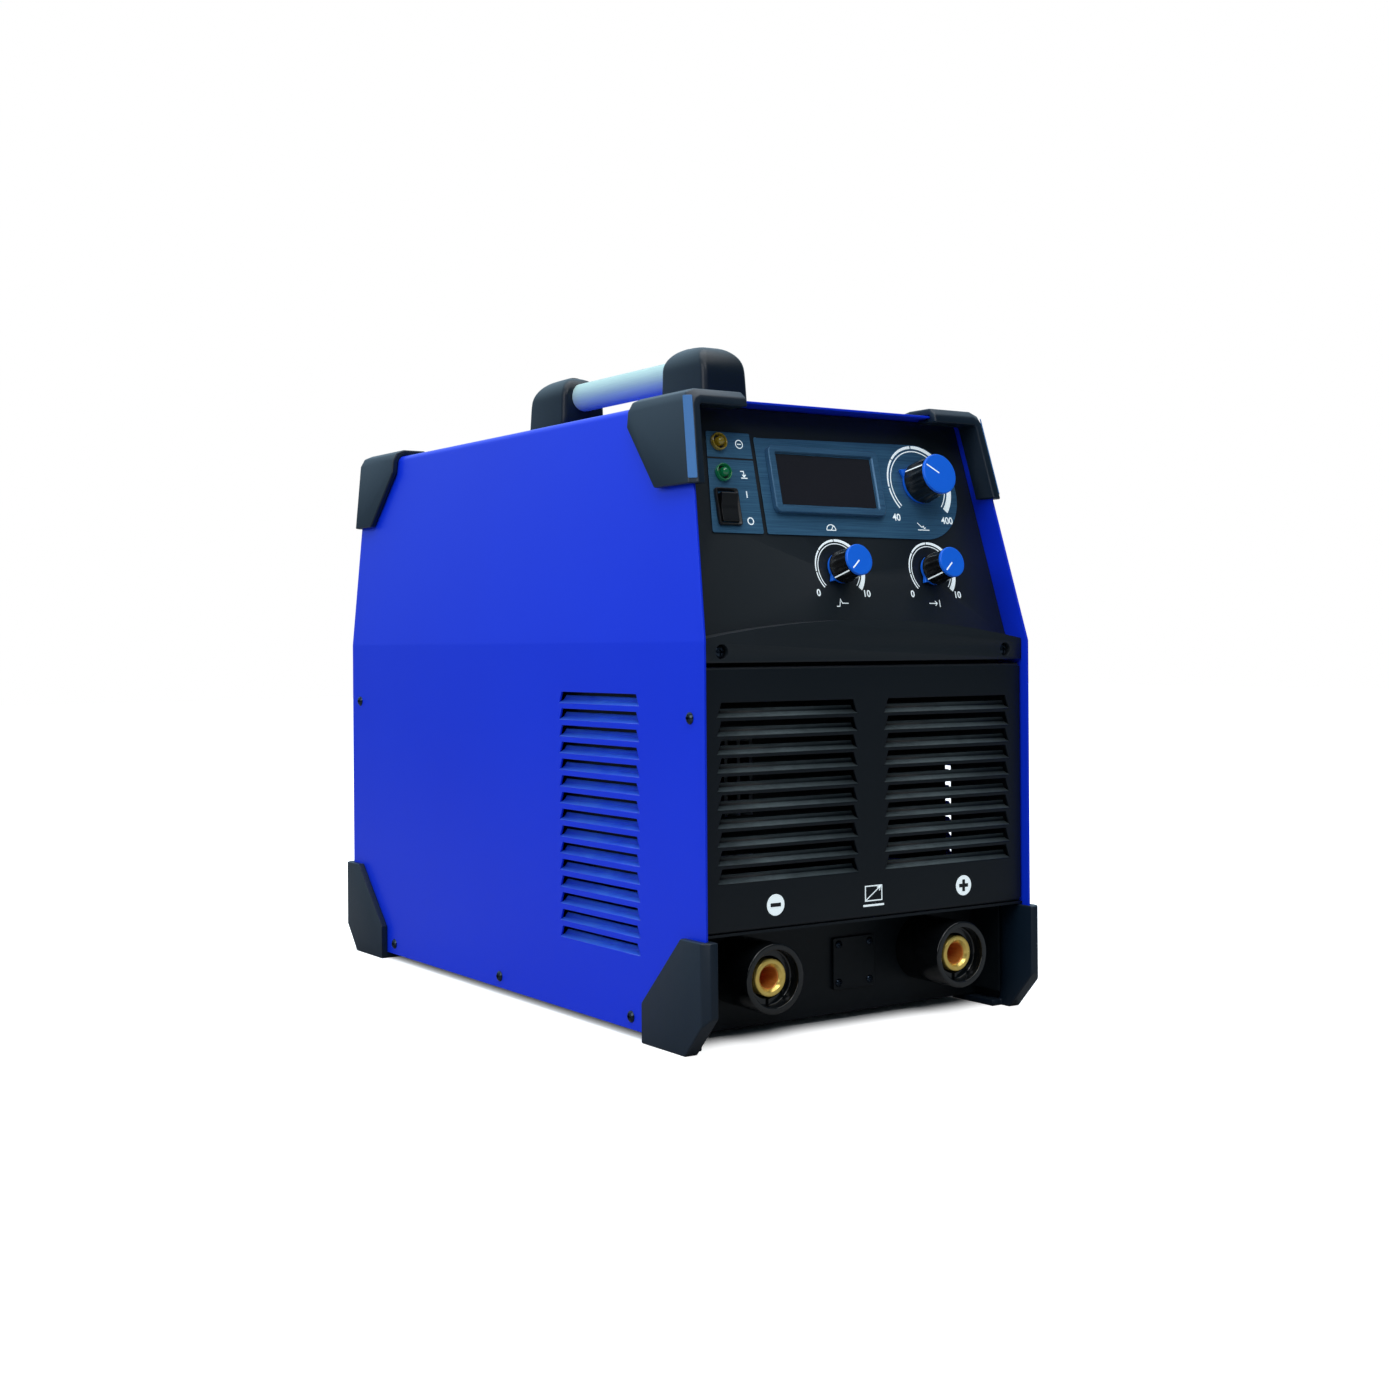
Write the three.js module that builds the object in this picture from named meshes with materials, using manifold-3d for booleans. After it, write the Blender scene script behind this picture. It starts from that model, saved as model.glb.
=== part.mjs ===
// Stick welding inverter: a folded sheet-metal case with moulded corner guards, a sloping control
// panel, two quick-fit output sockets, a rear fan and breaker, and the power electronics inside.
// Millimetres, +Z up, the front towards -Y. Heights in this file count from the case's bottom edge;
// the whole machine is then lifted by the guards' feet, so z = 0 is the surface it stands on.
import * as THREE from 'three';
import { mergeVertices } from 'three/addons/utils/BufferGeometryUtils.js';
import Module from 'manifold-3d';

const wasm = await Module();
wasm.setup();

// ---------------------------------------------------------------- driving dimensions
const gap = 0.3;                 // between neighbouring pieces
const sheet = 1.5;               // steel sheet thickness
const footDrop = 4.5;            // the guards stand this far below the case
const body = { length: 500, width: 256, fold: 236.8, height: 383.5, taper: 14, lean: 36, bend: 5 };
const guard = { proud: 5, ahead: 6, inner: 4.6, bevel: 4.4, returnLow: 25, returnHigh: 12 };
const foot = { inner: 115.5, start: 23, end: 63 };   // from the middle, and from the end of the case
const panel = { recess: 18.5, run: 0.245, thick: 3, start: 237 };
const ledge = { bottom: 224.6, end: 238, apex: 250, recess: 5, screwX: 112, screwZ: 231, bore: 4.5 };
const grille = { recess: 5.6, bottom: 66.5, top: 222, flange: 12 };
const frontLouvre = { count: 10, pitch: 10.8, first: 192.3, tall: 9, near: 10.5, far: 115.5 };
const sideLouvre = { count: 15, pitch: 10.85, first: 198, tall: 7.4, start: 71, end: 168.4 };
const slat = { reach: 7, slit: 2, thick: 1.2 };
const socket = { x: 74, z: 36.2, outer: 21.1, bore: 17.2, front: 6, recess: 47, insert: 11.4, hole: 6.5 };
const blank = { x: 16.8, z: 32, width: 33.5, height: 32.8, thick: 2 };
const handle = { wide: 36, rise: 57.6, front: -93, rear: 157, depth: 57, axis: 43, radius: 10.75, wall: 1.5 };
const rear = {
  recess: 20, fanZ: 150, breakerX: -62, breakerZ: 296, glandX: 62, glandZ: 50, studX: 8, studZ: 34,
};
const fan = { size: 150, depth: 50, bore: 71, hub: 30, blades: 7, tip: 68.5 };
const turn = { start: 222, currentRest: 150 };   // degrees on the dials, counter-clockwise
const knobs = {
  current: { x: 71, w: 105, radius: 13.4, tall: 23.5, pointer: 18, rest: turn.currentRest },
  hot_start: { x: -5.5, w: 46.5, radius: 10.2, tall: 21.5, pointer: 13.4, rest: turn.start },
  arc_force: { x: 70.5, w: 46.5, radius: 10.2, tall: 21.5, pointer: 13.4, rest: turn.start },
};
const meter = { x: -6.4, w: 102.8, width: 87.3, height: 43.4, windowW: 76.5, windowH: 34.4, corner: 4 };
const leds = { fault: { x: -84.6, w: 125.2 }, ready: { x: -84.5, w: 105.6 } };
const rocker = { x: -84.6, w: 83.7, pivot: -0.6, halfAngle: 10 };

const half = { x: body.width / 2, y: body.length / 2 };
const taperTan = body.taper / (body.height - body.fold);
const leanTan = body.lean / (body.height - body.fold);

// ---------------------------------------------------------------- solids from three.js geometry
function solid(geometry) {
  const bare = geometry.index ? geometry.toNonIndexed() : geometry.clone();
  bare.deleteAttribute('normal');
  bare.deleteAttribute('uv');
  const merged = mergeVertices(bare, 1e-4);
  return new wasm.Manifold(new wasm.Mesh({
    numProp: 3,
    vertProperties: Float32Array.from(merged.attributes.position.array),
    triVerts: Uint32Array.from(merged.index.array),
  }));
}

function geometryOf(manifold) {
  const mesh = manifold.getMesh();
  const geometry = new THREE.BufferGeometry();
  geometry.setAttribute('position', new THREE.BufferAttribute(mesh.vertProperties, mesh.numProp));
  geometry.setIndex(new THREE.BufferAttribute(mesh.triVerts, 1));
  geometry.computeVertexNormals();
  return geometry;
}

const join = (...pieces) => pieces.reduce((whole, piece) => whole.add(piece));
const cut = (whole, ...tools) => tools.reduce((rest, tool) => rest.subtract(tool), whole);

function block(x0, x1, y0, y1, z0, z1) {
  const geometry = new THREE.BoxGeometry(x1 - x0, y1 - y0, z1 - z0);
  return solid(geometry.translate((x0 + x1) / 2, (y0 + y1) / 2, (z0 + z1) / 2));
}

// An outline pushed from one place to another: prismX takes [y, z] points, prismY [x, z], prismZ [x, y].
function prism(points, depth, place) {
  const shape = new THREE.Shape(points.map(([u, v]) => new THREE.Vector2(u, v)));
  const geometry = new THREE.ExtrudeGeometry(shape, { depth, bevelEnabled: false });
  return solid(geometry.applyMatrix4(place));
}

function prismX(points, x0, x1) {
  const turned = new THREE.Matrix4().makeBasis(
    new THREE.Vector3(0, 1, 0), new THREE.Vector3(0, 0, 1), new THREE.Vector3(1, 0, 0));
  return prism(points, x1 - x0, turned.setPosition(x0, 0, 0));
}

function prismY(points, y0, y1) {
  const turned = new THREE.Matrix4().makeBasis(
    new THREE.Vector3(1, 0, 0), new THREE.Vector3(0, 0, 1), new THREE.Vector3(0, -1, 0));
  return prism(points, y1 - y0, turned.setPosition(0, y1, 0));
}

const prismZ = (points, z0, z1) => prism(points, z1 - z0, new THREE.Matrix4().makeTranslation(0, 0, z0));

// A round bar between two heights of its own axis, turned to lie along X, Y or Z.
function bar(axis, radius, from, to, [a, b] = [0, 0], sides = 24) {
  const geometry = new THREE.CylinderGeometry(radius, radius, to - from, sides);
  const middle = (from + to) / 2;
  if (axis === 'x') return solid(geometry.rotateZ(-Math.PI / 2).translate(middle, a, b));
  if (axis === 'y') return solid(geometry.translate(a, middle, b));
  return solid(geometry.rotateX(Math.PI / 2).translate(a, b, middle));
}

// A turned piece: [radius, height] points round the Z axis.
function turned(profile, sides = 24) {
  const points = profile.map(([r, h]) => new THREE.Vector2(r, h));
  return solid(new THREE.LatheGeometry(points, sides).rotateX(Math.PI / 2));
}

// The same turned piece with its axis along Y, heights growing towards +Y.
function turnedY(profile, x, z, sides = 24) {
  const points = profile.map(([r, h]) => new THREE.Vector2(r, h));
  return solid(new THREE.LatheGeometry(points, sides).translate(x, 0, z));
}

// Rounds the corners of an outline with short curves of `steps` edges. `radii` is one size for all
// corners, or a list with one size per corner where 0 leaves it sharp.
function rounded(points, radii, steps = 4) {
  const result = [];
  points.forEach((corner, i) => {
    const radius = Array.isArray(radii) ? radii[i] : radii;
    if (radius === 0) {
      result.push(corner);
      return;
    }
    const here = new THREE.Vector2(...corner);
    const before = new THREE.Vector2(...points.at(i - 1)).sub(here);
    const after = new THREE.Vector2(...points[(i + 1) % points.length]).sub(here);
    const size = Math.min(radius, before.length() / 2.01, after.length() / 2.01);
    const start = before.setLength(size).add(here);
    const end = after.setLength(size).add(here);
    const curve = new THREE.QuadraticBezierCurve(start, here, end);
    curve.getPoints(steps).forEach((p) => result.push([p.x, p.y]));
  });
  return result;
}

const inOrder = (a, b) => [Math.min(a, b), Math.max(a, b)];
const rectangle = (x, y, width, height) => [
  [x - width / 2, y - height / 2], [x + width / 2, y - height / 2],
  [x + width / 2, y + height / 2], [x - width / 2, y + height / 2]];

// ---------------------------------------------------------------- the case's own outline
// Half-width of the case at a height, on a surface set out from it by `offset`.
function halfWidth(z, offset = 0) {
  if (z <= body.fold) return half.x + offset;
  return half.x + offset * Math.hypot(1, taperTan) - taperTan * (z - body.fold);
}

// The inverted U as [x, z] points from the left foot over the top to the right foot.
function outline(offset, bottom = 0) {
  const top = body.height + offset;
  const bend = Math.max(body.bend + offset, 1.5);
  const right = [
    [half.x + offset, bottom], [half.x + offset, body.fold],
    [halfWidth(top - bend, offset), top - bend],
    [halfWidth(top, offset) - bend * 0.3, top - bend * 0.3],
    [halfWidth(top, offset) - bend, top]];
  return [...right.map(([x, z]) => [-x, z]), ...right.reverse()];
}

// Mirrors [distance in from the end, height] points to the front (end = -1) or the rear (end = 1).
const fromEnd = (end, points) => points.map(([p, z]) => [end * (half.y - p), z]);

// Everything beyond the case's front or rear edge, moved in by `shift`. The front edge leans back
// above the fold, and the case's sides are cut off at a slant at the very bottom of both ends.
const cornerCut = { high: 20, deep: 18 };
function beyondEnd(end, shift, cornerDeep = cornerCut.deep) {
  const [low, high, far] = [-60, body.height + 60, -100];
  const slantFoot = cornerDeep * (1 - low / cornerCut.high);
  const lean = end < 0 ? leanTan * (high - body.fold) : 0;
  return prismX(fromEnd(end, [[far, low], [slantFoot + shift, low], [shift, cornerCut.high],
    [shift, body.fold], [lean + shift, high], [far, high]]), -200, 200);
}

// ---------------------------------------------------------------- materials
const finish = (color, roughness, metalness = 0) =>
  () => new THREE.MeshStandardMaterial({ color, roughness, metalness });
const looks = {
  blueSteel: finish(0x1c37d2, 0.3, 0.1),
  blackPlastic: finish(0x14191e, 0.45),
  blackSteel: finish(0x0b1014, 0.5, 0.2),
  zincSteel: finish(0xa8adb0, 0.4, 0.9),
  aluminium: finish(0xb4bec6, 0.3, 1),
  labelSteel: finish(0x32556e, 0.35, 0.7),
  knobBlue: finish(0x146ef5, 0.35),
  window: finish(0x26262e, 0.1),
  brass: finish(0xd7b450, 0.25, 1),
  amber: finish(0xd9a520, 0.2),
  green: finish(0x1c8a4a, 0.2),
  board: finish(0x1d5a38, 0.5),
  copper: finish(0xb87333, 0.35, 1),
  ferrite: finish(0x2b2b2e, 0.7),
  capacitorSleeve: finish(0x1b2530, 0.4),
};

const machine = new THREE.Group();
machine.position.z = footDrop;

function add(name, manifold, look, parent = machine) {
  const mesh = new THREE.Mesh(geometryOf(manifold), looks[look]());
  mesh.name = name;
  parent.add(mesh);
  return mesh;
}

// ---------------------------------------------------------------- louvres
// A louvre is a slit window whose lower edge carries a slat pressed inwards, so that a narrow
// see-through slit is left along its top. Windows are a little shorter along the top.
const windowSlope = 3.3;
const windowPoints = (a, b, z, tall) =>
  [[a, z], [b, z], [b - windowSlope, z + tall], [a + windowSlope, z + tall]];
const slatPoints = (wall, inward, z, tall) => [
  [wall, z - 0.5], [wall + inward * slat.thick, z - 0.5],
  [wall + inward * slat.reach, z + tall - slat.slit - slat.thick],
  [wall + inward * slat.reach, z + tall - slat.slit], [wall, z + slat.thick]];

const ladder = ({ count, pitch, first }) => Array.from({ length: count }, (_, k) => first - k * pitch);

// ---------------------------------------------------------------- case sheets
function makeCover() {
  const shell = prismY([...outline(0), ...outline(-sheet).reverse()], -half.y, half.y);
  const louvreStart = -half.y + sideLouvre.start;
  const louvreEnd = -half.y + sideLouvre.end;
  const heights = ladder(sideLouvre);
  const windows = heights.map((z) =>
    prismX(windowPoints(louvreStart, louvreEnd, z, sideLouvre.tall), -half.x - 1, half.x + 1));
  const slats = [-1, 1].flatMap((side) => heights.map((z) =>
    prismY(slatPoints(side * half.x, -side, z, sideLouvre.tall), louvreStart + 0.6, louvreEnd - 0.6)));
  return join(cut(shell, beyondEnd(-1, 0), beyondEnd(1, 0), ...windows), ...slats);
}

function makeBaseTray() {
  const outer = half.x - sheet - gap;
  const flange = 18;
  const profile = [[-outer, gap], [outer, gap], [outer, flange], [outer - sheet, flange],
    [outer - sheet, gap + sheet], [sheet - outer, gap + sheet], [sheet - outer, flange], [-outer, flange]];
  return prismY(profile, -half.y + socket.recess + sheet + gap, half.y - rear.recess - sheet - gap);
}

// The y of the sloping control panel's face at a height.
const panelFace = (z) => -half.y + panel.recess + panel.run * (z - panel.start);

function makeBezel() {
  const top = body.height - sheet - 0.7;
  const face = [ledge.bottom, top].map((z) => [panelFace(z), z]);
  const back = face.map(([y, z]) => [y + panel.thick, z]);
  const plate = prismX([...face, ...back.reverse()], -half.x, half.x);
  const arch = Array.from({ length: 13 }, (_, i) => {
    const s = i / 6 - 1;
    return [-s * half.x, ledge.end + (ledge.apex - ledge.end) * (1 - s * s)];
  });
  const sill = prismY([[-half.x, ledge.bottom], [half.x, ledge.bottom], ...arch],
    -half.y + ledge.recess, panelFace(ledge.bottom) + panel.thick);
  const inside = prismY(outline(-sheet - gap), -half.y, half.y);
  const bores = [-1, 1].map((side) => bar('y', ledge.bore, -half.y - 1, -half.y + ledge.recess + 6,
    [side * ledge.screwX, ledge.screwZ], 16));
  return cut(join(plate, sill).intersect(inside), ...bores);
}

function makeGrille() {
  const outer = half.x - sheet - gap;
  const front = -half.y + grille.recess;
  const plate = block(-outer, outer, front, front + sheet, grille.bottom, grille.top);
  const flanges = [-1, 1].map((side) => block(...inOrder(side * outer, side * (outer - sheet)),
    front, front + grille.flange, grille.bottom, grille.top));
  const topFlange = block(-outer, outer, front, front + grille.flange, grille.top - sheet, grille.top);
  const openings = [];
  const slats = [];
  for (const z of ladder(frontLouvre)) {
    for (const side of [-1, 1]) {
      const [a, b] = [side * frontLouvre.near, side * frontLouvre.far].sort((p, q) => p - q);
      openings.push(prismY(windowPoints(a, b, z, frontLouvre.tall), front - 1, front + sheet + 1));
      slats.push(prismX(slatPoints(front, 1, z, frontLouvre.tall), a + 0.6, b - 0.6));
    }
  }
  return join(cut(join(plate, topFlange, ...flanges), ...openings), ...slats);
}

// Upright panel behind the sockets, with a shelf and side cheeks that run forward under the grille.
function makeSocketPanel() {
  const outer = half.x - sheet - gap;
  const face = -half.y + socket.recess;
  const shelf = grille.bottom - gap;
  const profile = [[face, gap], [face + sheet, gap], [face + sheet, shelf],
    [-half.y + grille.recess, shelf], [-half.y + grille.recess, shelf - sheet], [face, shelf - sheet]];
  const holes = [-1, 1].map((side) =>
    bar('y', 15.5, face - 1, face + sheet + 1, [side * socket.x, socket.z]));
  const cheekFront = -half.y + guard.returnLow + 2 * gap;
  const cheeks = [-1, 1].map((side) => block(...inOrder(side * outer, side * (outer - sheet)),
    cheekFront, face + sheet, gap, shelf));
  return cut(join(prismX(profile, -outer, outer), ...cheeks), ...holes);
}

function makeRearPanel() {
  const outside = half.y - rear.recess;
  const plate = prismY(outline(-sheet - gap, gap), outside - sheet, outside);
  const through = [outside - sheet - 1, outside + 1];
  return cut(plate,
    bar('y', fan.bore, ...through, [0, rear.fanZ], 32),
    prismY(rectangle(rear.breakerX, rear.breakerZ, 41, 77), ...through),
    bar('y', 11, ...through, [rear.glandX, rear.glandZ]),
    bar('y', 4.6, ...through, [rear.studX, rear.studZ], 16));
}

// ---------------------------------------------------------------- corner guards
// The outside of all the guards at one end: the case's outline grown outwards and lengthways, with
// its end edges bevelled. The upper front guards follow the leaning edge, so theirs is sheared back.
function guardHull(leaning) {
  const { proud, ahead, bevel } = guard;
  const points = outline(proud - bevel, bevel - footDrop);
  const shape = new THREE.Shape(points.map(([x, z]) => new THREE.Vector2(x, z)));
  const reach = half.y + ahead;
  const geometry = new THREE.ExtrudeGeometry(shape, {
    depth: 2 * (reach - bevel), bevelEnabled: true, bevelThickness: bevel, bevelSize: bevel,
    bevelSegments: 1 });
  geometry.rotateX(Math.PI / 2).translate(0, reach - bevel, 0);
  if (leaning) {
    const shear = new THREE.Matrix4().makeShear(0, 0, 0, 0, 0, leanTan);
    geometry.translate(0, 0, -body.fold).applyMatrix4(shear).translate(0, 0, body.fold);
  }
  return solid(geometry);
}

// A guard grips the case's edge: an outer wall, a lip ahead of the sheet's edge and a short inner
// wall. The opening, the sheet's own slot and the space deeper inside are taken out of the hull.
function gripBand(end, returnDepth, leaning) {
  const through = [-half.y - 50, half.y + 50];
  const opening = prismY(outline(-guard.inner, -60), ...through);
  const slot = prismY([...outline(gap, -gap), ...outline(-sheet - gap, -gap).reverse()], ...through);
  const deeper = prismY(outline(-gap, -gap), ...through);
  return cut(guardHull(leaning), opening, cut(slot, beyondEnd(end, -gap)),
    cut(deeper, beyondEnd(end, returnDepth, 0)), beyondEnd(end, -guard.ahead));
}

function makeLowerGuard(side, end) {
  const shape = fromEnd(end, [[-10, 64], [20, 64], [63, 20], [63, -10], [-10, -10]]);
  const depth = end < 0 ? guard.returnLow : rear.recess - 5;
  const wall = gripBand(end, depth, false)
    .intersect(prismX(shape, ...inOrder(side * 100, side * (half.x + 10))));
  const [near, far] = inOrder(end * (half.y - foot.start), end * (half.y - foot.end));
  const stand = block(...inOrder(side * foot.inner, side * (half.x + 2)), near, far, -footDrop, -gap);
  return join(wall, stand);
}

// The upper guard is an L seen from the end: a cheek down the side and an arm along the top edge.
function makeUpperGuard(side, end) {
  const front = end < 0;
  const long = front ? 95.5 : 60;
  const sideShape = fromEnd(end, front
    ? [[-10, 330], [59, 330], [long, 370], [long, 420], [-10, 420]]
    : [[-10, 330], [27, 330], [long, 370], [long, 420], [-10, 420]]);
  const topShape = [[half.x + 10, -10], [75, -10], [75, long - 40], [92, long], [half.x + 10, long]]
    .map(([x, p]) => [side * x, end * (half.y - p)]);
  const cheek = prismX(sideShape, ...inOrder(side * 100, side * (half.x + 10)));
  const arm = prismZ(topShape, body.height - guard.inner - 1, 420);
  const band = gripBand(end, front ? guard.returnHigh : rear.recess - 5, front);
  return join(band.intersect(arm), band.intersect(cheek));
}

// ---------------------------------------------------------------- carrying handle
// A bracket is the overlap of its side outline (leaning out over the tube) and its domed end outline.
function makeBracket(outerY, inward) {
  const base = body.height + gap;
  const top = body.height + handle.rise;
  const side = rounded([[0, base], [handle.depth - 16, base], [handle.depth, base + 22], [handle.depth, top],
    [5, top - 3]], [0, 0, 4, 12, 20]);
  const upright = prismX(side.map(([p, z]) => [outerY + inward * p, z]), -20, 20);
  const [foot, crown] = [handle.wide / 2, handle.wide / 2 - 2.5];
  const end = rounded([[-foot, base], [foot, base], [crown, top], [-crown, top]], [0, 0, 15, 15]);
  const domed = prismY(end, ...inOrder(outerY, outerY + inward * handle.depth));
  const hole = inOrder(outerY + inward * (handle.depth + 1), outerY + inward * (handle.depth - 20));
  return cut(upright.intersect(domed),
    bar('y', handle.radius + gap, ...hole, [0, body.height + handle.axis]));
}

function makeHandleTube() {
  const inside = handle.depth - 19.5;
  const [start, end] = [handle.front + inside, handle.rear - inside];
  const inner = handle.radius - handle.wall;
  return turnedY([[inner, start], [handle.radius, start], [handle.radius, end], [inner, end],
    [inner, start]], 0, body.height + handle.axis);
}

// ---------------------------------------------------------------- output sockets
function makeSocketHousing(side) {
  const front = -half.y + socket.front;
  const face = -half.y + socket.recess - gap;
  const floor = front + 8;
  return turnedY([[12.6, floor], [socket.bore, floor], [socket.bore, front], [socket.outer, front],
    [socket.outer, face], [15, face], [15, face + 6], [12.6, face + 6], [12.6, floor]],
    side * socket.x, socket.z, 24);
}

function makeSocketInsert(side) {
  const front = -half.y + socket.front + 5;
  const back = -half.y + socket.recess + 16;
  const depth = 26;
  return turnedY([[0, front + depth], [socket.hole, front + depth], [socket.hole, front + 2], [8.4, front],
    [socket.insert, front], [socket.insert, back], [0, back]], side * socket.x, socket.z, 24);
}

// ---------------------------------------------------------------- rear fittings
function makeFanFrame() {
  const back = half.y - rear.recess - sheet - gap;
  const front = back - fan.depth;
  const square = rounded(rectangle(0, rear.fanZ, fan.size, fan.size), 12);
  const duct = cut(prismY(square, front, back), bar('y', fan.bore, front - 1, back + 1, [0, rear.fanZ], 32));
  const strutTurns = [45, 135, 225, 315];
  const struts = strutTurns.map((angle) => {
    const strut = new THREE.BoxGeometry(fan.bore - 20, 4, 6).translate(fan.bore / 2 + 12, front + 2, 0);
    return solid(strut.rotateY(THREE.MathUtils.degToRad(angle)).translate(0, 0, rear.fanZ));
  });
  return join(duct, bar('y', 27, front, front + 4, [0, rear.fanZ]), ...struts);
}

// The rotor turns about an axis along Y; each blade is a pitched plate set into the hub.
function makeFanRotor() {
  const back = half.y - rear.recess - sheet - 4;
  const hub = bar('y', fan.hub, back - 38, back, [0, rear.fanZ]);
  const blades = Array.from({ length: fan.blades }, (_, i) => {
    const blade = new THREE.BoxGeometry(fan.tip - fan.hub + 6, 2.4, 34);
    blade.rotateX(THREE.MathUtils.degToRad(42)).translate((fan.tip + fan.hub - 6) / 2, back - 18, 0);
    const angle = (i / fan.blades) * 2 * Math.PI;
    return solid(blade.rotateY(angle).translate(0, 0, rear.fanZ));
  });
  const trim = bar('y', fan.tip, back - 40, back + 1, [0, rear.fanZ], 32);
  return join(hub, ...blades).intersect(trim);
}

function makeFanGuard() {
  const face = half.y - rear.recess + gap;
  const wire = 2.4;
  const ringAt = (radius) => turnedY([[radius - wire, face], [radius + wire, face],
    [radius + wire, face + wire], [radius - wire, face + wire], [radius - wire, face]], 0, rear.fanZ, 20);
  const spokes = [0, 60, 120].map((angle) => {
    const spoke = new THREE.BoxGeometry(150, wire, wire * 1.6).translate(0, face + wire / 2, 0);
    return solid(spoke.rotateY(THREE.MathUtils.degToRad(angle)).translate(0, 0, rear.fanZ));
  });
  return join(...[20, 37, 54, 71].map(ringAt), ...spokes);
}

const breakerPivot = { y: half.y - rear.recess + 2, z: rear.breakerZ, hub: 9.5 };

function makeBreakerHousing() {
  const outside = half.y - rear.recess;
  const bodyPart = prismY(rectangle(rear.breakerX, rear.breakerZ, 40, 76), outside - 50, outside + gap + 1);
  const rim = prismY(rounded(rectangle(rear.breakerX, rear.breakerZ, 46, 82), 3, 2),
    outside + gap, outside + 3);
  const hood = prismY(rectangle(rear.breakerX, rear.breakerZ, 24, 44), outside + 2, outside + 8);
  const pocket = bar('x', breakerPivot.hub + 1, rear.breakerX - 6, rear.breakerX + 6,
    [breakerPivot.y, breakerPivot.z]);
  return cut(join(bodyPart, rim, hood), pocket);
}

function makeBreakerLever() {
  const hub = bar('x', breakerPivot.hub, rear.breakerX - 5.5, rear.breakerX + 5.5,
    [breakerPivot.y, breakerPivot.z]);
  const stub = new THREE.BoxGeometry(11, 21, 6.5).translate(0, 10.5, 0);
  stub.rotateX(THREE.MathUtils.degToRad(-25)).translate(rear.breakerX, breakerPivot.y, breakerPivot.z);
  return join(hub, solid(stub));
}

function makeGland() {
  const face = half.y - rear.recess + gap;
  const hex = bar('y', 15, face, face + 6, [rear.glandX, rear.glandZ], 6);
  const dome = turnedY([[6.8, face - 14], [10.6, face - 14], [10.6, face + 5], [13, face + 5],
    [13, face + 15],
    [9.5, face + 20], [6.8, face + 20], [6.8, face - 14]], rear.glandX, rear.glandZ, 18);
  return join(cut(hex, bar('y', 6.8, face - 1, face + 7, [rear.glandX, rear.glandZ], 18)), dome);
}

function makeEarthStud() {
  const face = half.y - rear.recess + gap;
  const shank = bar('y', 4, face - 14, face + 20, [rear.studX, rear.studZ], 16);
  const washer = bar('y', 9, face, face + 2, [rear.studX, rear.studZ], 16);
  const nut = bar('y', 7.4, face + 2, face + 8.5, [rear.studX, rear.studZ], 6);
  return join(shank, washer, nut);
}

// ---------------------------------------------------------------- power electronics
const trayTop = gap + sheet;

function makeHeatsink(bottom) {
  const fins = 11;
  const pitch = 11;
  const [base, tall, fin] = [8, 62, 3];
  const wide = (fins - 1) * pitch + fin;
  const comb = [[wide / 2, bottom + tall], [-wide / 2, bottom + tall], [-wide / 2, bottom]];
  for (let i = 0; i < fins; i += 1) {
    const left = -wide / 2 + i * pitch;
    comb.push([left + fin, bottom]);
    if (i < fins - 1) comb.push([left + fin, bottom + tall - base], [left + pitch, bottom + tall - base],
      [left + pitch, bottom]);
  }
  return prismY(comb, -40, 150);
}

function makeTransformerCore() {
  const [wide, tall, deep, leg] = [104, 84, 44, 22];
  const middle = trayTop + gap + tall / 2;
  const windowWide = (wide - 3 * leg) / 2;
  const windows = [-1, 1].map((side) =>
    prismY(rectangle(side * (leg + windowWide) / 2, middle, windowWide, tall - 30), -151, -149 + deep));
  return cut(prismY(rectangle(0, middle, wide, tall), -150, -150 + deep), ...windows);
}

function makeTransformerWinding() {
  const middle = trayTop + gap + 42;
  const ring = rounded(rectangle(0, -128, 22 + 2 * 18, 44 + 2 * 20), 6, 3);
  return cut(prismZ(ring, middle - 26, middle + 26),
    prismZ(rectangle(0, -128, 23, 45), middle - 27, middle + 27));
}

function makeChoke() {
  const ring = new THREE.TorusGeometry(24, 13, 8, 16).rotateX(Math.PI / 2);
  return solid(ring.rotateX(Math.PI / 2).translate(88, -70, trayTop + 40));
}

const boardHeight = 226;
const makeMainBoard = () => block(-108, 108, -170, 120, boardHeight, boardHeight + 2);

function makeCapacitor() {
  const foot = boardHeight + 2 + gap;
  return turned([[0, foot], [17, foot], [17.5, foot + 1.5], [17.5, foot + 48], [16, foot + 50],
    [0, foot + 50]])
    .add(bar('z', 17, foot + 49, foot + 50));
}

// ---------------------------------------------------------------- assembly of the case
add('cover', makeCover(), 'blueSteel');
add('base_tray', makeBaseTray(), 'zincSteel');
add('front_bezel', makeBezel(), 'blackPlastic');
add('grille_panel', makeGrille(), 'blackSteel');
add('socket_panel', makeSocketPanel(), 'blackSteel');
add('rear_panel', makeRearPanel(), 'blackSteel');

for (const [endName, end] of [['front', -1], ['rear', 1]]) {
  for (const [sideName, side] of [['left', -1], ['right', 1]]) {
    add(`guard_${endName}_lower_${sideName}`, makeLowerGuard(side, end), 'blackPlastic');
    add(`guard_${endName}_upper_${sideName}`, makeUpperGuard(side, end), 'blackPlastic');
  }
}

add('handle_bracket_front', makeBracket(handle.front, 1), 'blackPlastic');
add('handle_bracket_rear', makeBracket(handle.rear, -1), 'blackPlastic');
add('handle_tube', makeHandleTube(), 'aluminium');

for (const [name, side] of [['negative', -1], ['positive', 1]]) {
  add(`socket_${name}`, makeSocketHousing(side), 'blackPlastic');
  add(`socket_${name}_insert`, makeSocketInsert(side), 'brass');
}
const plateBack = -half.y + socket.recess - gap;
add('blank_plate', block(blank.x - blank.width / 2, blank.x + blank.width / 2, plateBack - blank.thick,
  plateBack, blank.z - blank.height / 2, blank.z + blank.height / 2), 'blackSteel');

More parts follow.
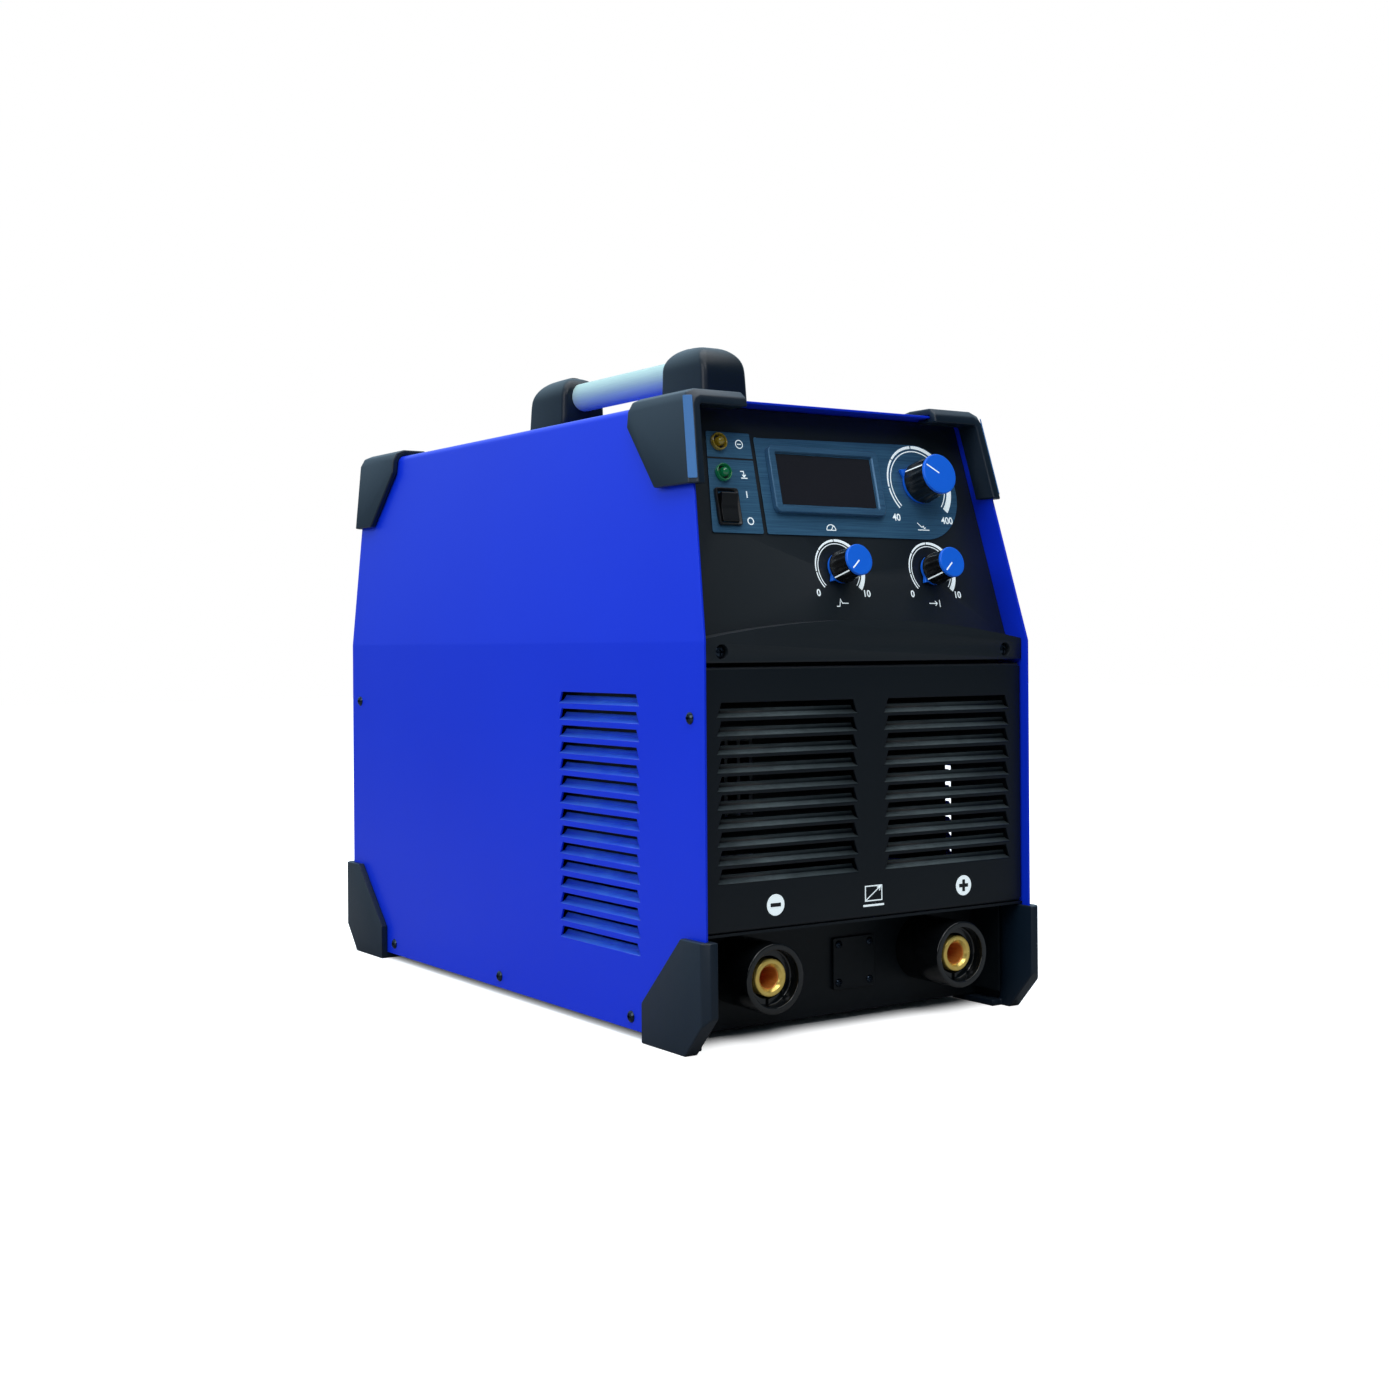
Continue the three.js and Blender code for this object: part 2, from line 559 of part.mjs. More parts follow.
add('fan_frame', makeFanFrame(), 'blackPlastic');
add('fan_rotor', makeFanRotor(), 'blackPlastic');
add('fan_guard', makeFanGuard(), 'zincSteel');
add('breaker_housing', makeBreakerHousing(), 'blackPlastic');
add('breaker_lever', makeBreakerLever(), 'blackPlastic');
add('cable_gland', makeGland(), 'blackPlastic');
add('earth_stud', makeEarthStud(), 'brass');

add('heatsink_lower', makeHeatsink(trayTop + 20), 'aluminium');
add('heatsink_upper', makeHeatsink(trayTop + 110), 'aluminium');
add('transformer_core', makeTransformerCore(), 'ferrite');
add('transformer_winding', makeTransformerWinding(), 'copper');
add('output_choke', makeChoke(), 'copper');
add('main_board', makeMainBoard(), 'board');
add('bus_capacitor', makeCapacitor(), 'capacitorSleeve');

// ---------------------------------------------------------------- control panel
// Everything on the sloping panel is made flat: x across, y up the slope, z out of the panel's face.
const fascia = new THREE.Group();
fascia.position.set(0, panelFace(panel.start), panel.start);
fascia.rotation.x = Math.atan2(1, panel.run);
machine.add(fascia);

const labelTop = gap + 0.5;               // outer face of the thin label plates
const seat = labelTop + gap;              // where pieces that sit on the labels begin

function makeMainLabel() {
  const arc = Array.from({ length: 17 }, (_, i) => {
    const angle = Math.PI * (i / 16 - 0.5);
    return [knobs.current.x + 32.3 * Math.cos(angle), 99.8 + 32.3 * Math.sin(angle)];
  });
  const shaftHole = bar('z', 5.6, -1, 2, [knobs.current.x, knobs.current.w], 16);
  return cut(prismZ([[-57, 132.1], [-57, 67.5], ...arc], gap, labelTop), shaftHole);
}

function makeSideLabel() {
  const plate = prismZ([[-98, 67.5], [-60, 67.5], [-60, 132.1], [-92.3, 132.1]], gap, labelTop);
  const holes = Object.values(leds).map(({ x, w }) => bar('z', 4.4, -1, 2, [x, w], 16));
  return cut(plate, ...holes, prismZ(rectangle(rocker.x, rocker.w, 15.8, 22.8), -1, 2));
}

function makeMeterFrame() {
  const outside = rounded(rectangle(meter.x, meter.w, meter.width, meter.height), meter.corner);
  return cut(prismZ(outside, seat, seat + 4),
    prismZ(rectangle(meter.x, meter.w, meter.windowW, meter.windowH), seat - 1, seat + 5));
}

function makeLed({ x, w }) {
  const lens = turned([[0, -9], [3.8, -9], [3.8, seat], [6, seat], [6, seat + 1.2], [4, seat + 1.2],
    [3.9, seat + 3.2], [2.8, seat + 5], [0, seat + 5.6]], 16);
  return solid(geometryOf(lens).translate(x, w, 0));
}

function makeSwitchHousing() {
  const flange = prismZ(rounded(rectangle(0, 0, 17.2, 23.6), 1.5, 2), seat, seat + 2);
  const bodyPart = block(-7.5, 7.5, -11, 11, -18, seat + 1);
  const cavity = block(-6.5, 6.5, -10.4, 10.4, -9, seat + 5);
  return cut(join(flange, bodyPart), cavity).translate([rocker.x, rocker.w, 0]);
}

// Made in its middle position, then tipped so that its lower end is pressed in.
function makeRocker() {
  const profile = [[0, 4], [9.2, 5.6], [7.4, -4.5], [0, -5.5], [-7.4, -4.5], [-9.2, 5.6]];
  const tipped = profile.map(([y, z]) => new THREE.Vector2(y, z)
    .rotateAround(new THREE.Vector2(), THREE.MathUtils.degToRad(rocker.halfAngle)));
  const placed = tipped.map(({ x: y, y: z }) => [y + rocker.w, z + rocker.pivot]);
  return prismX(placed, rocker.x - 6.1, rocker.x + 6.1);
}

function addKnob(name, { x, w, radius, tall, pointer, rest }) {
  const at = (manifold) => manifold.translate([x, w, 0]);
  const ringTop = seat + 2.4;
  const capFoot = tall - 2.2;
  const rim = radius - 0.2;
  const bodyPart = turned([[3.4, ringTop + gap], [rim + 0.6, ringTop + gap],
    [rim - 0.8, capFoot - gap], [0, capFoot - gap],
    [0, ringTop + 14], [3.4, ringTop + 14], [3.4, ringTop + gap]]);
  add(`knob_${name}`, at(bodyPart), 'blackPlastic', fascia);
  const cap = turned([[0, capFoot], [rim - 0.8, capFoot], [rim - 0.8, tall - 0.6], [rim - 1.4, tall],
    [0, tall]]);
  add(`knob_${name}_cap`, at(cap), 'knobBlue', fascia);
  const direction = THREE.MathUtils.degToRad(rest);
  const arrow = [[pointer, 0], [rim - 1, 4], [rim - 1, -4]].map(([a, b]) => [
    a * Math.cos(direction) - b * Math.sin(direction), a * Math.sin(direction) + b * Math.cos(direction)]);
  const ring = join(bar('z', rim + 0.6, seat, ringTop), prismZ(arrow, seat, ringTop));
  add(`knob_${name}_ring`, at(cut(ring, bar('z', 3.5, seat - 1, ringTop + 1))), 'knobBlue', fascia);
  const shaft = bar('z', 3, -14, ringTop + 13, [x, w], 16);
  add(`knob_${name}_shaft`, shaft, 'zincSteel', fascia);
  const pot = turned([[3.4, -15], [0, -15], [0, -28], [10, -28], [10, -14], [4.6, -14], [4.6, -3.4],
    [3.4, -3.4], [3.4, -15]], 16);
  add(`potentiometer_${name}`, at(pot), 'zincSteel', fascia);
}

// The bezel's own openings are cut on the slope, so it leaves and re-enters the machine's frame here.
function cutPanelOpenings() {
  const holes = [
    ...Object.values(knobs).map(({ x, w }) => bar('z', 5, -6, 2, [x, w], 16)),
    ...Object.values(leds).map(({ x, w }) => bar('z', 4.4, -6, 2, [x, w], 16)),
    prismZ(rectangle(rocker.x, rocker.w, 15.8, 22.8), -6, 2),
    prismZ(rectangle(meter.x, meter.w, 70, 30), -6, 2)];
  const bezel = machine.getObjectByName('front_bezel');
  fascia.updateMatrix();
  const placed = holes.map((hole) => solid(geometryOf(hole).applyMatrix4(fascia.matrix)));
  bezel.geometry = geometryOf(cut(solid(bezel.geometry), ...placed));
}

cutPanelOpenings();
add('label_main', makeMainLabel(), 'labelSteel', fascia);
add('label_side', makeSideLabel(), 'labelSteel', fascia);
add('meter_frame', makeMeterFrame(), 'labelSteel', fascia);
add('meter_window', block(meter.x - 38, meter.x + 38, meter.w - 17, meter.w + 17, seat, seat + 1.6),
  'window', fascia);
add('led_fault', makeLed(leds.fault), 'amber', fascia);
add('led_ready', makeLed(leds.ready), 'green', fascia);
add('switch_housing', makeSwitchHousing(), 'blackPlastic', fascia);
add('switch_rocker', makeRocker(), 'blackPlastic', fascia);
Object.entries(knobs).forEach(([name, knob]) => addKnob(name, knob));
add('control_board', block(-100, 100, 14, 136, -31, -28 - gap - 1), 'board', fascia);

export default machine;
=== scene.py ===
import math
import bmesh
import bpy
import numpy as np
from mathutils import Matrix, Vector


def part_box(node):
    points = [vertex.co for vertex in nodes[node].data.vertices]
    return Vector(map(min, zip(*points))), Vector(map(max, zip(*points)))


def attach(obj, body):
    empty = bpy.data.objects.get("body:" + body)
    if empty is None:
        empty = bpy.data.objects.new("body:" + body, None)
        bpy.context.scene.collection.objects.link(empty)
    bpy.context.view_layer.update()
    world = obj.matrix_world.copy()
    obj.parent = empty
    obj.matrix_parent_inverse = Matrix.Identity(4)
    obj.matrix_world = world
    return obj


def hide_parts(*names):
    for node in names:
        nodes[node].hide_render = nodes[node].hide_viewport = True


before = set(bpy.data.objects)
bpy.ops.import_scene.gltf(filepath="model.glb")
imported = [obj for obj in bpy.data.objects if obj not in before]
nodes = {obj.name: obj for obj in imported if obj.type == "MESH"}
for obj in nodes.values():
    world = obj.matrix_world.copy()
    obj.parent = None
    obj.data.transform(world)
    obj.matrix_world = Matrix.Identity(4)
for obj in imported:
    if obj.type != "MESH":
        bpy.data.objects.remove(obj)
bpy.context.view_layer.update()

print("frame loaded:", len(nodes), "nodes")

# Lengths below are millimetres on the case: x across, y to the rear, z up from the case's bottom edge.
mm = 0.001
coverLow, coverHigh = (np.array(corner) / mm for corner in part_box("cover"))
standOff = coverLow[2]
halfWide, halfLong = coverHigh[0], coverHigh[1]
caseTop = coverHigh[2] - standOff
case = dict(fold=236.8, taperIn=14.0, lean=36.0, sheet=1.5, bend=5.0, cornerHigh=20.0, cornerDeep=18.0)
taperSlope = case["taperIn"] / (caseTop - case["fold"])
leanSlope = case["lean"] / (caseTop - case["fold"])
panelSlope = dict(recess=18.5, run=0.245, start=237.0)
rearFace = 230.3    # outer face of the rear panel
printTall = 0.08    # how far printed marks stand up


# Places: each turns local points (u, v, w) into case millimetres.
def column(points, index):
    return np.asarray(points, float)[..., index]


def onPanel(points):    # u across, v up the slope, w out of the sloping control panel
    length = math.hypot(1, panelSlope["run"])
    up = np.array([0, panelSlope["run"], 1]) / length
    out = np.array([0, -1, panelSlope["run"]]) / length
    start = np.array([0, panelSlope["recess"] - halfLong, panelSlope["start"]])
    u, v, w = (column(points, i)[..., None] for i in range(3))
    return start + u * np.array([1.0, 0, 0]) + v * up + w * out


def facingFront(y, x=0.0, z=0.0):    # u right, v up, w towards the viewer in front
    return lambda p: np.stack([x + column(p, 0), y - column(p, 2), z + column(p, 1)], -1)


def facingRear(y, x=0.0, z=0.0):    # u right as seen from behind
    return lambda p: np.stack([x - column(p, 0), y + column(p, 2), z + column(p, 1)], -1)


def facingSide(x, y, z):    # u towards the rear, w out of the right side
    return lambda p: np.stack([x + column(p, 2), y + column(p, 0), z + column(p, 1)], -1)


# Surfaces: a part is (points, faces).
def gridFaces(rows, columns, closeRows=False, closeColumns=False, keep=None):
    i, j = np.meshgrid(np.arange(rows if closeRows else rows - 1),
                       np.arange(columns if closeColumns else columns - 1), indexing="ij")
    right, up = (j + 1) % columns, (i + 1) % rows
    quads = np.stack([i * columns + j, i * columns + right, up * columns + right, up * columns + j], -1)
    return (quads if keep is None else quads[keep]).reshape(-1, 4).tolist()


def gridPart(points, closeRows=False, closeColumns=False, keep=None):
    rows, columns = points.shape[:2]
    return points.reshape(-1, 3), gridFaces(rows, columns, closeRows, closeColumns, keep)


# A stack of rings with a flat face over each end.
def loftPart(rings, caps=(True, True)):
    points, faces = gridPart(rings, closeColumns=True)
    count, size = rings.shape[:2]
    if caps[0]:
        faces.append(list(range(size))[::-1])
    if caps[1]:
        faces.append(list(range((count - 1) * size, count * size)))
    return points, faces


def joinParts(*parts):
    points, faces, start = [], [], 0
    for partPoints, partFaces in parts:
        points.append(np.asarray(partPoints).reshape(-1, 3))
        faces += [[start + k for k in face] for face in partFaces]
        start += len(points[-1])
    return np.concatenate(points), faces


def placed(part, place):
    return place(part[0]), part[1]


def polar(radius, angle):    # points (x, y) at a radius and an angle
    return np.stack([radius * np.cos(angle), radius * np.sin(angle)], -1)


# An outline whose corners are true arcs; `radii` is one radius or one per corner.
def outline(corners, radii=0.0, steps=6):
    corners = np.asarray(corners, float)
    radii = np.broadcast_to(radii, len(corners))
    points = []
    for i, (corner, radius) in enumerate(zip(corners, radii)):
        before, after = corners[i - 1] - corner, corners[(i + 1) % len(corners)] - corner
        a, b = before / np.linalg.norm(before), after / np.linalg.norm(after)
        if radius <= 0:
            points.append(corner[None])
            continue
        half = 0.5 * math.acos(np.clip(a @ b, -1, 1))
        centre = corner + (a + b) / np.linalg.norm(a + b) * radius / math.sin(half)
        start = corner + a * radius / math.tan(half) - centre
        end = corner + b * radius / math.tan(half) - centre
        turn = math.atan2(start[0] * end[1] - start[1] * end[0], start @ end)
        angle = math.atan2(start[1], start[0]) + turn * np.linspace(0, 1, steps + 1)
        points.append(centre + polar(radius, angle))
    return np.concatenate(points)


def box2(x, y, width, height):
    w, h = width / 2, height / 2
    return [[x - w, y - h], [x + w, y - h], [x + w, y + h], [x - w, y + h]]


def circle(x, y, radius, count=32):
    return polar(radius, np.linspace(0, 2 * np.pi, count, endpoint=False)) + [x, y]


# Each point of a counter-clockwise outline moved inwards along the bisector of its two edges.
def inset(points, distance):
    ahead, behind = np.roll(points, -1, 0) - points, points - np.roll(points, 1, 0)
    normals = [np.stack([-e[:, 1], e[:, 0]], -1) / np.linalg.norm(e, axis=1, keepdims=True).clip(1e-9)
               for e in (ahead, behind)]
    bisector = normals[0] + normals[1]
    return points + distance * 2 * bisector / (bisector ** 2).sum(1, keepdims=True).clip(0.5)


# A plate from an outline: straight wall, then a quarter-round edge of radius `edge` up to the face.
def slab(points, low, high, edge=0.0, steps=3):
    quarter = np.linspace(0, np.pi / 2, steps + 1) if edge else np.zeros(1)
    rings = [np.column_stack([points, np.full(len(points), low)])]
    for t in quarter:
        ring = inset(points, edge * (1 - math.cos(t)))
        rings.append(np.column_stack([ring, np.full(len(points), high - edge + edge * math.sin(t))]))
    return loftPart(np.array(rings))


# A frame: a wall section [(share, height), ...] carried round from an outer outline to an inner one.
def ringSlab(outer, inner, section):
    rings = [np.column_stack([outer + (inner - outer) * share, np.full(len(outer), height)])
             for share, height in section]
    return gridPart(np.array(rings), closeRows=True, closeColumns=True)


# The (radius, height) profile as a stack of rings round w.
def spun(profile, sides):
    profile = np.asarray(profile, float)
    angle = np.linspace(0, 2 * np.pi, sides, endpoint=False)
    r, h = profile[:, 0, None], profile[:, 1, None]
    return np.stack([r * np.cos(angle), r * np.sin(angle), h + 0 * angle], -1)


# A turned piece. Radius 0 closes it on the axis.
def turned(profile, sides=48):
    return loftPart(spun(profile, sides), caps=(profile[0][0] > 0, profile[-1][0] > 0))


# A closed profile spun round w, for rings and tubes.
def turnedRing(profile, sides=48):
    return gridPart(spun(profile, sides), closeRows=True, closeColumns=True)


# A flat printed line of constant width along a polyline, standing `thick` above the surface.
def printedLine(points, width, low=0.0, thick=printTall, closed=False):
    points = np.asarray(points, float)
    ahead = np.roll(points, -1, 0) - points
    behind = points - np.roll(points, 1, 0)
    if not closed:
        ahead[-1], behind[0] = behind[-1], ahead[0]
    tangent = ahead / np.linalg.norm(ahead, axis=1, keepdims=True)
    other = behind / np.linalg.norm(behind, axis=1, keepdims=True)
    side = np.stack([-(tangent + other)[:, 1], (tangent + other)[:, 0]], -1)
    side = side / (side ** 2).sum(1, keepdims=True).clip(0.8) * width
    edges = np.stack([points - side, points + side], 1)
    section = np.stack([np.column_stack([edges[:, k], np.full(len(points), h)])
                        for k, h in ((0, low), (1, low), (1, low + thick), (0, low + thick))], 1)
    if closed:
        return gridPart(section, closeRows=True, closeColumns=True)
    return loftPart(section)


def newMesh(name, part):
    points, faces = part
    mesh = bpy.data.meshes.new(name)
    frameMetres = (np.asarray(points, float) + [0, 0, standOff]) * mm
    mesh.from_pydata(frameMetres.tolist(), [], faces)
    mesh.update()
    return mesh


def tidyMesh(mesh, recalc=True, flatten=False):
    work = bmesh.new()
    work.from_mesh(mesh)
    bmesh.ops.remove_doubles(work, verts=work.verts, dist=2e-6)
    bmesh.ops.dissolve_degenerate(work, edges=work.edges, dist=1e-6)
    if flatten:
        bmesh.ops.dissolve_limit(work, angle_limit=math.radians(0.6), verts=work.verts, edges=work.edges)
    if recalc:
        bmesh.ops.recalc_face_normals(work, faces=work.faces)
    work.to_mesh(mesh)
    work.free()


def finishPiece(mesh, name, material, body, slot, stands, bevel=0.0, segments=2, sheet=0.0, sharp=40):
    piece = bpy.data.objects.new(name, mesh)
    bpy.context.scene.collection.objects.link(piece)
    mesh.materials.clear()
    mesh.materials.append(material)
    mesh.shade_smooth()
    if sheet:
        wall = piece.modifiers.new("wall", "SOLIDIFY")
        wall.thickness, wall.offset, wall.use_even_offset = sheet * mm, -1, True
    if bevel:
        edge = piece.modifiers.new("edge", "BEVEL")
        edge.width, edge.segments, edge.limit_method = bevel * mm, segments, "ANGLE"
        edge.angle_limit, edge.harden_normals = math.radians(28), True
        edge.use_clamp_overlap = True
    else:
        mesh.set_sharp_from_angle(angle=math.radians(sharp))
    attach(piece, body)
    if stands:
        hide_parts(*stands)
    return piece


def makePiece(name, part, material, body="case", slot=None, stands=(), recalc=True, **finish):
    mesh = newMesh(name, part)
    tidyMesh(mesh, recalc)
    return finishPiece(mesh, name, material, body, slot, stands, **finish)


# The same part on the machine's left and right side.
def makePair(stem, part, material, **finish):
    for hand, side in (("Left", -1), ("Right", 1)):
        makePiece(stem + hand, (part[0] * [side, 1, 1], part[1]), material, **finish)


# A CAD node's own shape, merged and with its edges softened.
def softened(node, name, material, body="case", slot=None, bevel=0.6, segments=2):
    mesh = nodes[node].data.copy()
    mesh.name = name
    tidyMesh(mesh, recalc=False, flatten=True)
    return finishPiece(mesh, name, material, body, slot, (node,), bevel=bevel, segments=segments)


def tone(red, green, blue):    # a screen colour, 0 to 255, as the shader's linear colour
    shares = [c / 255 for c in (red, green, blue)]
    return tuple(c / 12.92 if c < 0.04045 else ((c + 0.055) / 1.055) ** 2.4 for c in shares) + (1.0,)


def newGroup(name, inputs, outputs):
    group = bpy.data.node_groups.new(name, "ShaderNodeTree")
    for label, kind, value in inputs:
        socket = group.interface.new_socket(name=label, in_out="INPUT", socket_type=kind)
        socket.default_value = value
    for label, kind in outputs:
        group.interface.new_socket(name=label, in_out="OUTPUT", socket_type=kind)
    return group, group.nodes.new("NodeGroupInput"), group.nodes.new("NodeGroupOutput")


def addNode(tree, kind, **values):
    node = tree.nodes.new(kind)
    for key, value in values.items():
        if key in node.inputs:
            node.inputs[key].default_value = value
        else:
            setattr(node, key, value)
    return node


# A node that maps one span of values on to another.
def spanNode(tree, fromMin=0.0, fromMax=1.0, toMin=0.0, toMax=1.0, **values):
    node = addNode(tree, "ShaderNodeMapRange", **values)
    for socket, value in zip(("From Min", "From Max", "To Min", "To Max"), (fromMin, fromMax, toMin, toMax)):
        node.inputs[socket].default_value = value
    return node


# A node that mixes two colours: its sockets are 0 for the share, 6 and 7 for the colours, 2 for the result.
def colourMix(tree, first=(0, 0, 0, 1), second=(1, 1, 1, 1)):
    node = addNode(tree, "ShaderNodeMix", data_type="RGBA")
    node.inputs[6].default_value, node.inputs[7].default_value = first, second
    return node


# Each row joins one node's output to another's input: (node, output, node, input).
def wire(tree, *rows):
    for source, output, sink, entry in rows:
        tree.links.new(source.outputs[output], sink.inputs[entry])


# Fine moulded or sprayed texture: two sizes of noise added into one height, and a slow drift of shade.
def makeSurfaceGroup():
    group, source, sink = newGroup(
        "surfaceGrain",
        [("Size", "NodeSocketFloat", 900.0), ("Wave Size", "NodeSocketFloat", 40.0),
         ("Wave", "NodeSocketFloat", 0.4)],
        [("Height", "NodeSocketFloat"), ("Shade", "NodeSocketFloat")])
    place = addNode(group, "ShaderNodeTexCoord")
    fine = addNode(group, "ShaderNodeTexNoise", Detail=2.0, Roughness=0.6)
    slow = addNode(group, "ShaderNodeTexNoise", Detail=1.0, Roughness=0.4)
    drift = addNode(group, "ShaderNodeTexNoise", Scale=7.0, Detail=3.0)
    scaled = addNode(group, "ShaderNodeMath", operation="MULTIPLY")
    total = addNode(group, "ShaderNodeMath", operation="ADD")
    wire(group, *[(place, "Object", noise, "Vector") for noise in (fine, slow, drift)],
         (source, "Size", fine, "Scale"), (source, "Wave Size", slow, "Scale"),
         (slow, "Fac", scaled, 0), (source, "Wave", scaled, 1), (fine, "Fac", total, 0), (scaled, 0, total, 1),
         (total, 0, sink, "Height"), (drift, "Fac", sink, "Shade"))
    return group


# Hair lines along one direction: noise squeezed across the brush and stretched along it.
def makeBrushGroup():
    group, source, sink = newGroup("brushedLines", [("Squeeze", "NodeSocketVector", (20.0, 2500.0, 2500.0))],
                                   [("Height", "NodeSocketFloat"), ("Shade", "NodeSocketFloat")])
    place = addNode(group, "ShaderNodeTexCoord")
    stretch = addNode(group, "ShaderNodeMapping")
    lines = addNode(group, "ShaderNodeTexNoise", Scale=1.0, Detail=4.0, Roughness=0.7)
    bands = spanNode(group, 0.3, 0.7)
    wire(group, (place, "Object", stretch, "Vector"), (source, "Squeeze", stretch, "Scale"),
         (stretch, "Vector", lines, "Vector"), (lines, "Fac", sink, "Height"),
         (lines, "Fac", bands, "Value"), (bands, "Result", sink, "Shade"))
    return group


# Light dust that settles on upward faces, broken up by noise. At full amount the same mask paints a highlight on
# upward faces, such as the lips of the slats.
def makeDustAndSheenGroup():
    group, source, sink = newGroup("settledDustAndSheen", [("Amount", "NodeSocketFloat", 0.1)],
                                   [("Mask", "NodeSocketFloat")])
    place = addNode(group, "ShaderNodeTexCoord")
    normal = addNode(group, "ShaderNodeNewGeometry")
    split = addNode(group, "ShaderNodeSeparateXYZ")
    patches = addNode(group, "ShaderNodeTexNoise", Scale=28.0, Detail=6.0, Roughness=0.75)
    up = spanNode(group, 0.4, 1.0)
    both = addNode(group, "ShaderNodeMath", operation="MULTIPLY")
    share = addNode(group, "ShaderNodeMath", operation="MULTIPLY")
    wire(group, (place, "Object", patches, "Vector"), (normal, "Normal", split, "Vector"),
         (split, "Z", up, "Value"), (up, "Result", both, 0), (patches, "Fac", both, 1),
         (both, 0, share, 0), (source, "Amount", share, 1), (share, 0, sink, "Mask"))
    return group


surfaceGroup, brushGroup, dustAndSheenGroup = makeSurfaceGroup(), makeBrushGroup(), makeDustAndSheenGroup()


def newMaterial(name, **sockets):
    material = bpy.data.materials.new(name)
    material.use_nodes = True
    shader = material.node_tree.nodes["Principled BSDF"]
    for key, value in sockets.items():
        shader.inputs[key.replace("_", " ")].default_value = value
    return material, shader


# One texture group drives a colour between two shades, a span of roughness and a fine bump.
def texturedMaterial(name, texture, dark, light, roughness, bump, sockets):
    material, shader = newMaterial(name, **sockets)
    tree = material.node_tree
    pattern = addNode(tree, "ShaderNodeGroup", **texture)
    mix = colourMix(tree, tone(*dark), tone(*light))
    rough = spanNode(tree, 0, 1, *roughness)
    relief = addNode(tree, "ShaderNodeBump", Strength=bump[0], Distance=bump[1])
    wire(tree, (pattern, "Shade", mix, 0), (mix, 2, shader, "Base Color"), (pattern, "Shade", rough, "Value"),
         (rough, "Result", shader, "Roughness"), (pattern, "Height", relief, "Height"),
         (relief, "Normal", shader, "Normal"))
    return material, mix, shader


# A painted or moulded finish, with settled dust and painted highlight on upward faces between the mixed colour and
# the shader.
def grainedMaterial(name, dark, light, roughness, spread, size, wave, depth, dustAndSheen=0.06,
                    dustAndSheenTone=(150, 155, 165), **sockets):
    material, mix, shader = texturedMaterial(
        name, dict(node_tree=surfaceGroup, Size=size, Wave=wave), dark, light,
        (roughness - spread, roughness + spread), (depth, 0.0002), sockets)
    tree = material.node_tree
    dustAndSheenMask = addNode(tree, "ShaderNodeGroup", node_tree=dustAndSheenGroup, Amount=dustAndSheen)
    dustAndSheenMix = colourMix(tree, second=tone(*dustAndSheenTone))
    wire(tree, (dustAndSheenMask, "Mask", dustAndSheenMix, 0), (mix, 2, dustAndSheenMix, 6), (dustAndSheenMix, 2, shader, "Base Color"))
    return material


# A brushed finish: hair lines in the colour, roughness and bump.
def brushedMaterial(name, dark, light, roughness, squeeze, depth, **sockets):
    return texturedMaterial(name, dict(node_tree=brushGroup, Squeeze=squeeze), dark, light,
                            (roughness - 0.06, roughness + 0.08), (depth, 0.0001), sockets)[0]


# Grained: dark and light tone, roughness and its spread, grain size, wave and bump depth.
# Brushed: dark and light tone, roughness, squeeze along each axis and bump depth.
bluePaint = grainedMaterial("bluePaint", (8, 48, 222), (12, 55, 231), 0.36, 0.04, 700, 1.2, 0.10,
                            Coat_Weight=0.05, Coat_Roughness=0.1, Specular_IOR_Level=0.2)
# Slat paint: the blue darker than the sheet is painted shade on the slats, and the pale blue on their upward lips
# is a painted highlight.
slatPaint = grainedMaterial("slatPaint", (6, 36, 214), (9, 42, 222), 0.3, 0.04, 700, 1.2, 0.10, dustAndSheen=1.0,
                            dustAndSheenTone=(76, 138, 236), Coat_Weight=0.05, Coat_Roughness=0.1,
                            Specular_IOR_Level=0.42)
blackPaint = grainedMaterial("blackPaint", (7, 15, 22), (11, 20, 28), 0.46, 0.06, 1400, 0.6, 0.35,
                             Specular_IOR_Level=0.34)
# Slat black: darker than the panel paint as painted shade on the slats, and the pale grey on their upward lips is a
# painted highlight.
slatBlack = grainedMaterial("slatBlack", (6, 12, 18), (9, 16, 22), 0.4, 0.05, 1400, 0.6, 0.3, dustAndSheen=1.0,
                            dustAndSheenTone=(116, 131, 136), Specular_IOR_Level=0.14)
blackMoulding = grainedMaterial("blackMoulding", (12, 20, 27), (17, 27, 34), 0.48, 0.07, 1800, 0.4, 0.4)
guardMoulding = grainedMaterial("guardMoulding", (9, 25, 39), (15, 32, 48), 0.42, 0.06, 1500, 0.5, 0.3,
                                Specular_IOR_Level=0.38)
handleMoulding = grainedMaterial("handleMoulding", (12, 23, 31), (18, 31, 40), 0.36, 0.05, 1500, 0.5, 0.2,
                                 Specular_IOR_Level=0.3)
glossBlack = grainedMaterial("glossBlack", (8, 9, 11), (14, 15, 18), 0.22, 0.05, 600, 0.5, 0.08, dustAndSheen=0.03)
socketBlack = grainedMaterial("socketBlack", (5, 7, 9), (9, 12, 15), 0.2, 0.04, 900, 0.5, 0.06, dustAndSheen=0.02,
                              Coat_Weight=0.3, Coat_Roughness=0.08)
fanBlack = grainedMaterial("fanBlack", (12, 12, 13), (20, 20, 22), 0.55, 0.06, 1200, 0.4, 0.3)
zincSteel = brushedMaterial("zincSteel", (140, 143, 146), (185, 188, 190), 0.34, (300.0, 300.0, 300.0), 0.1,
                            Metallic=1.0)
brightWire = brushedMaterial("brightWire", (175, 178, 182), (205, 208, 212), 0.2, (500.0, 500.0, 500.0), 0.05,
                             Metallic=1.0)
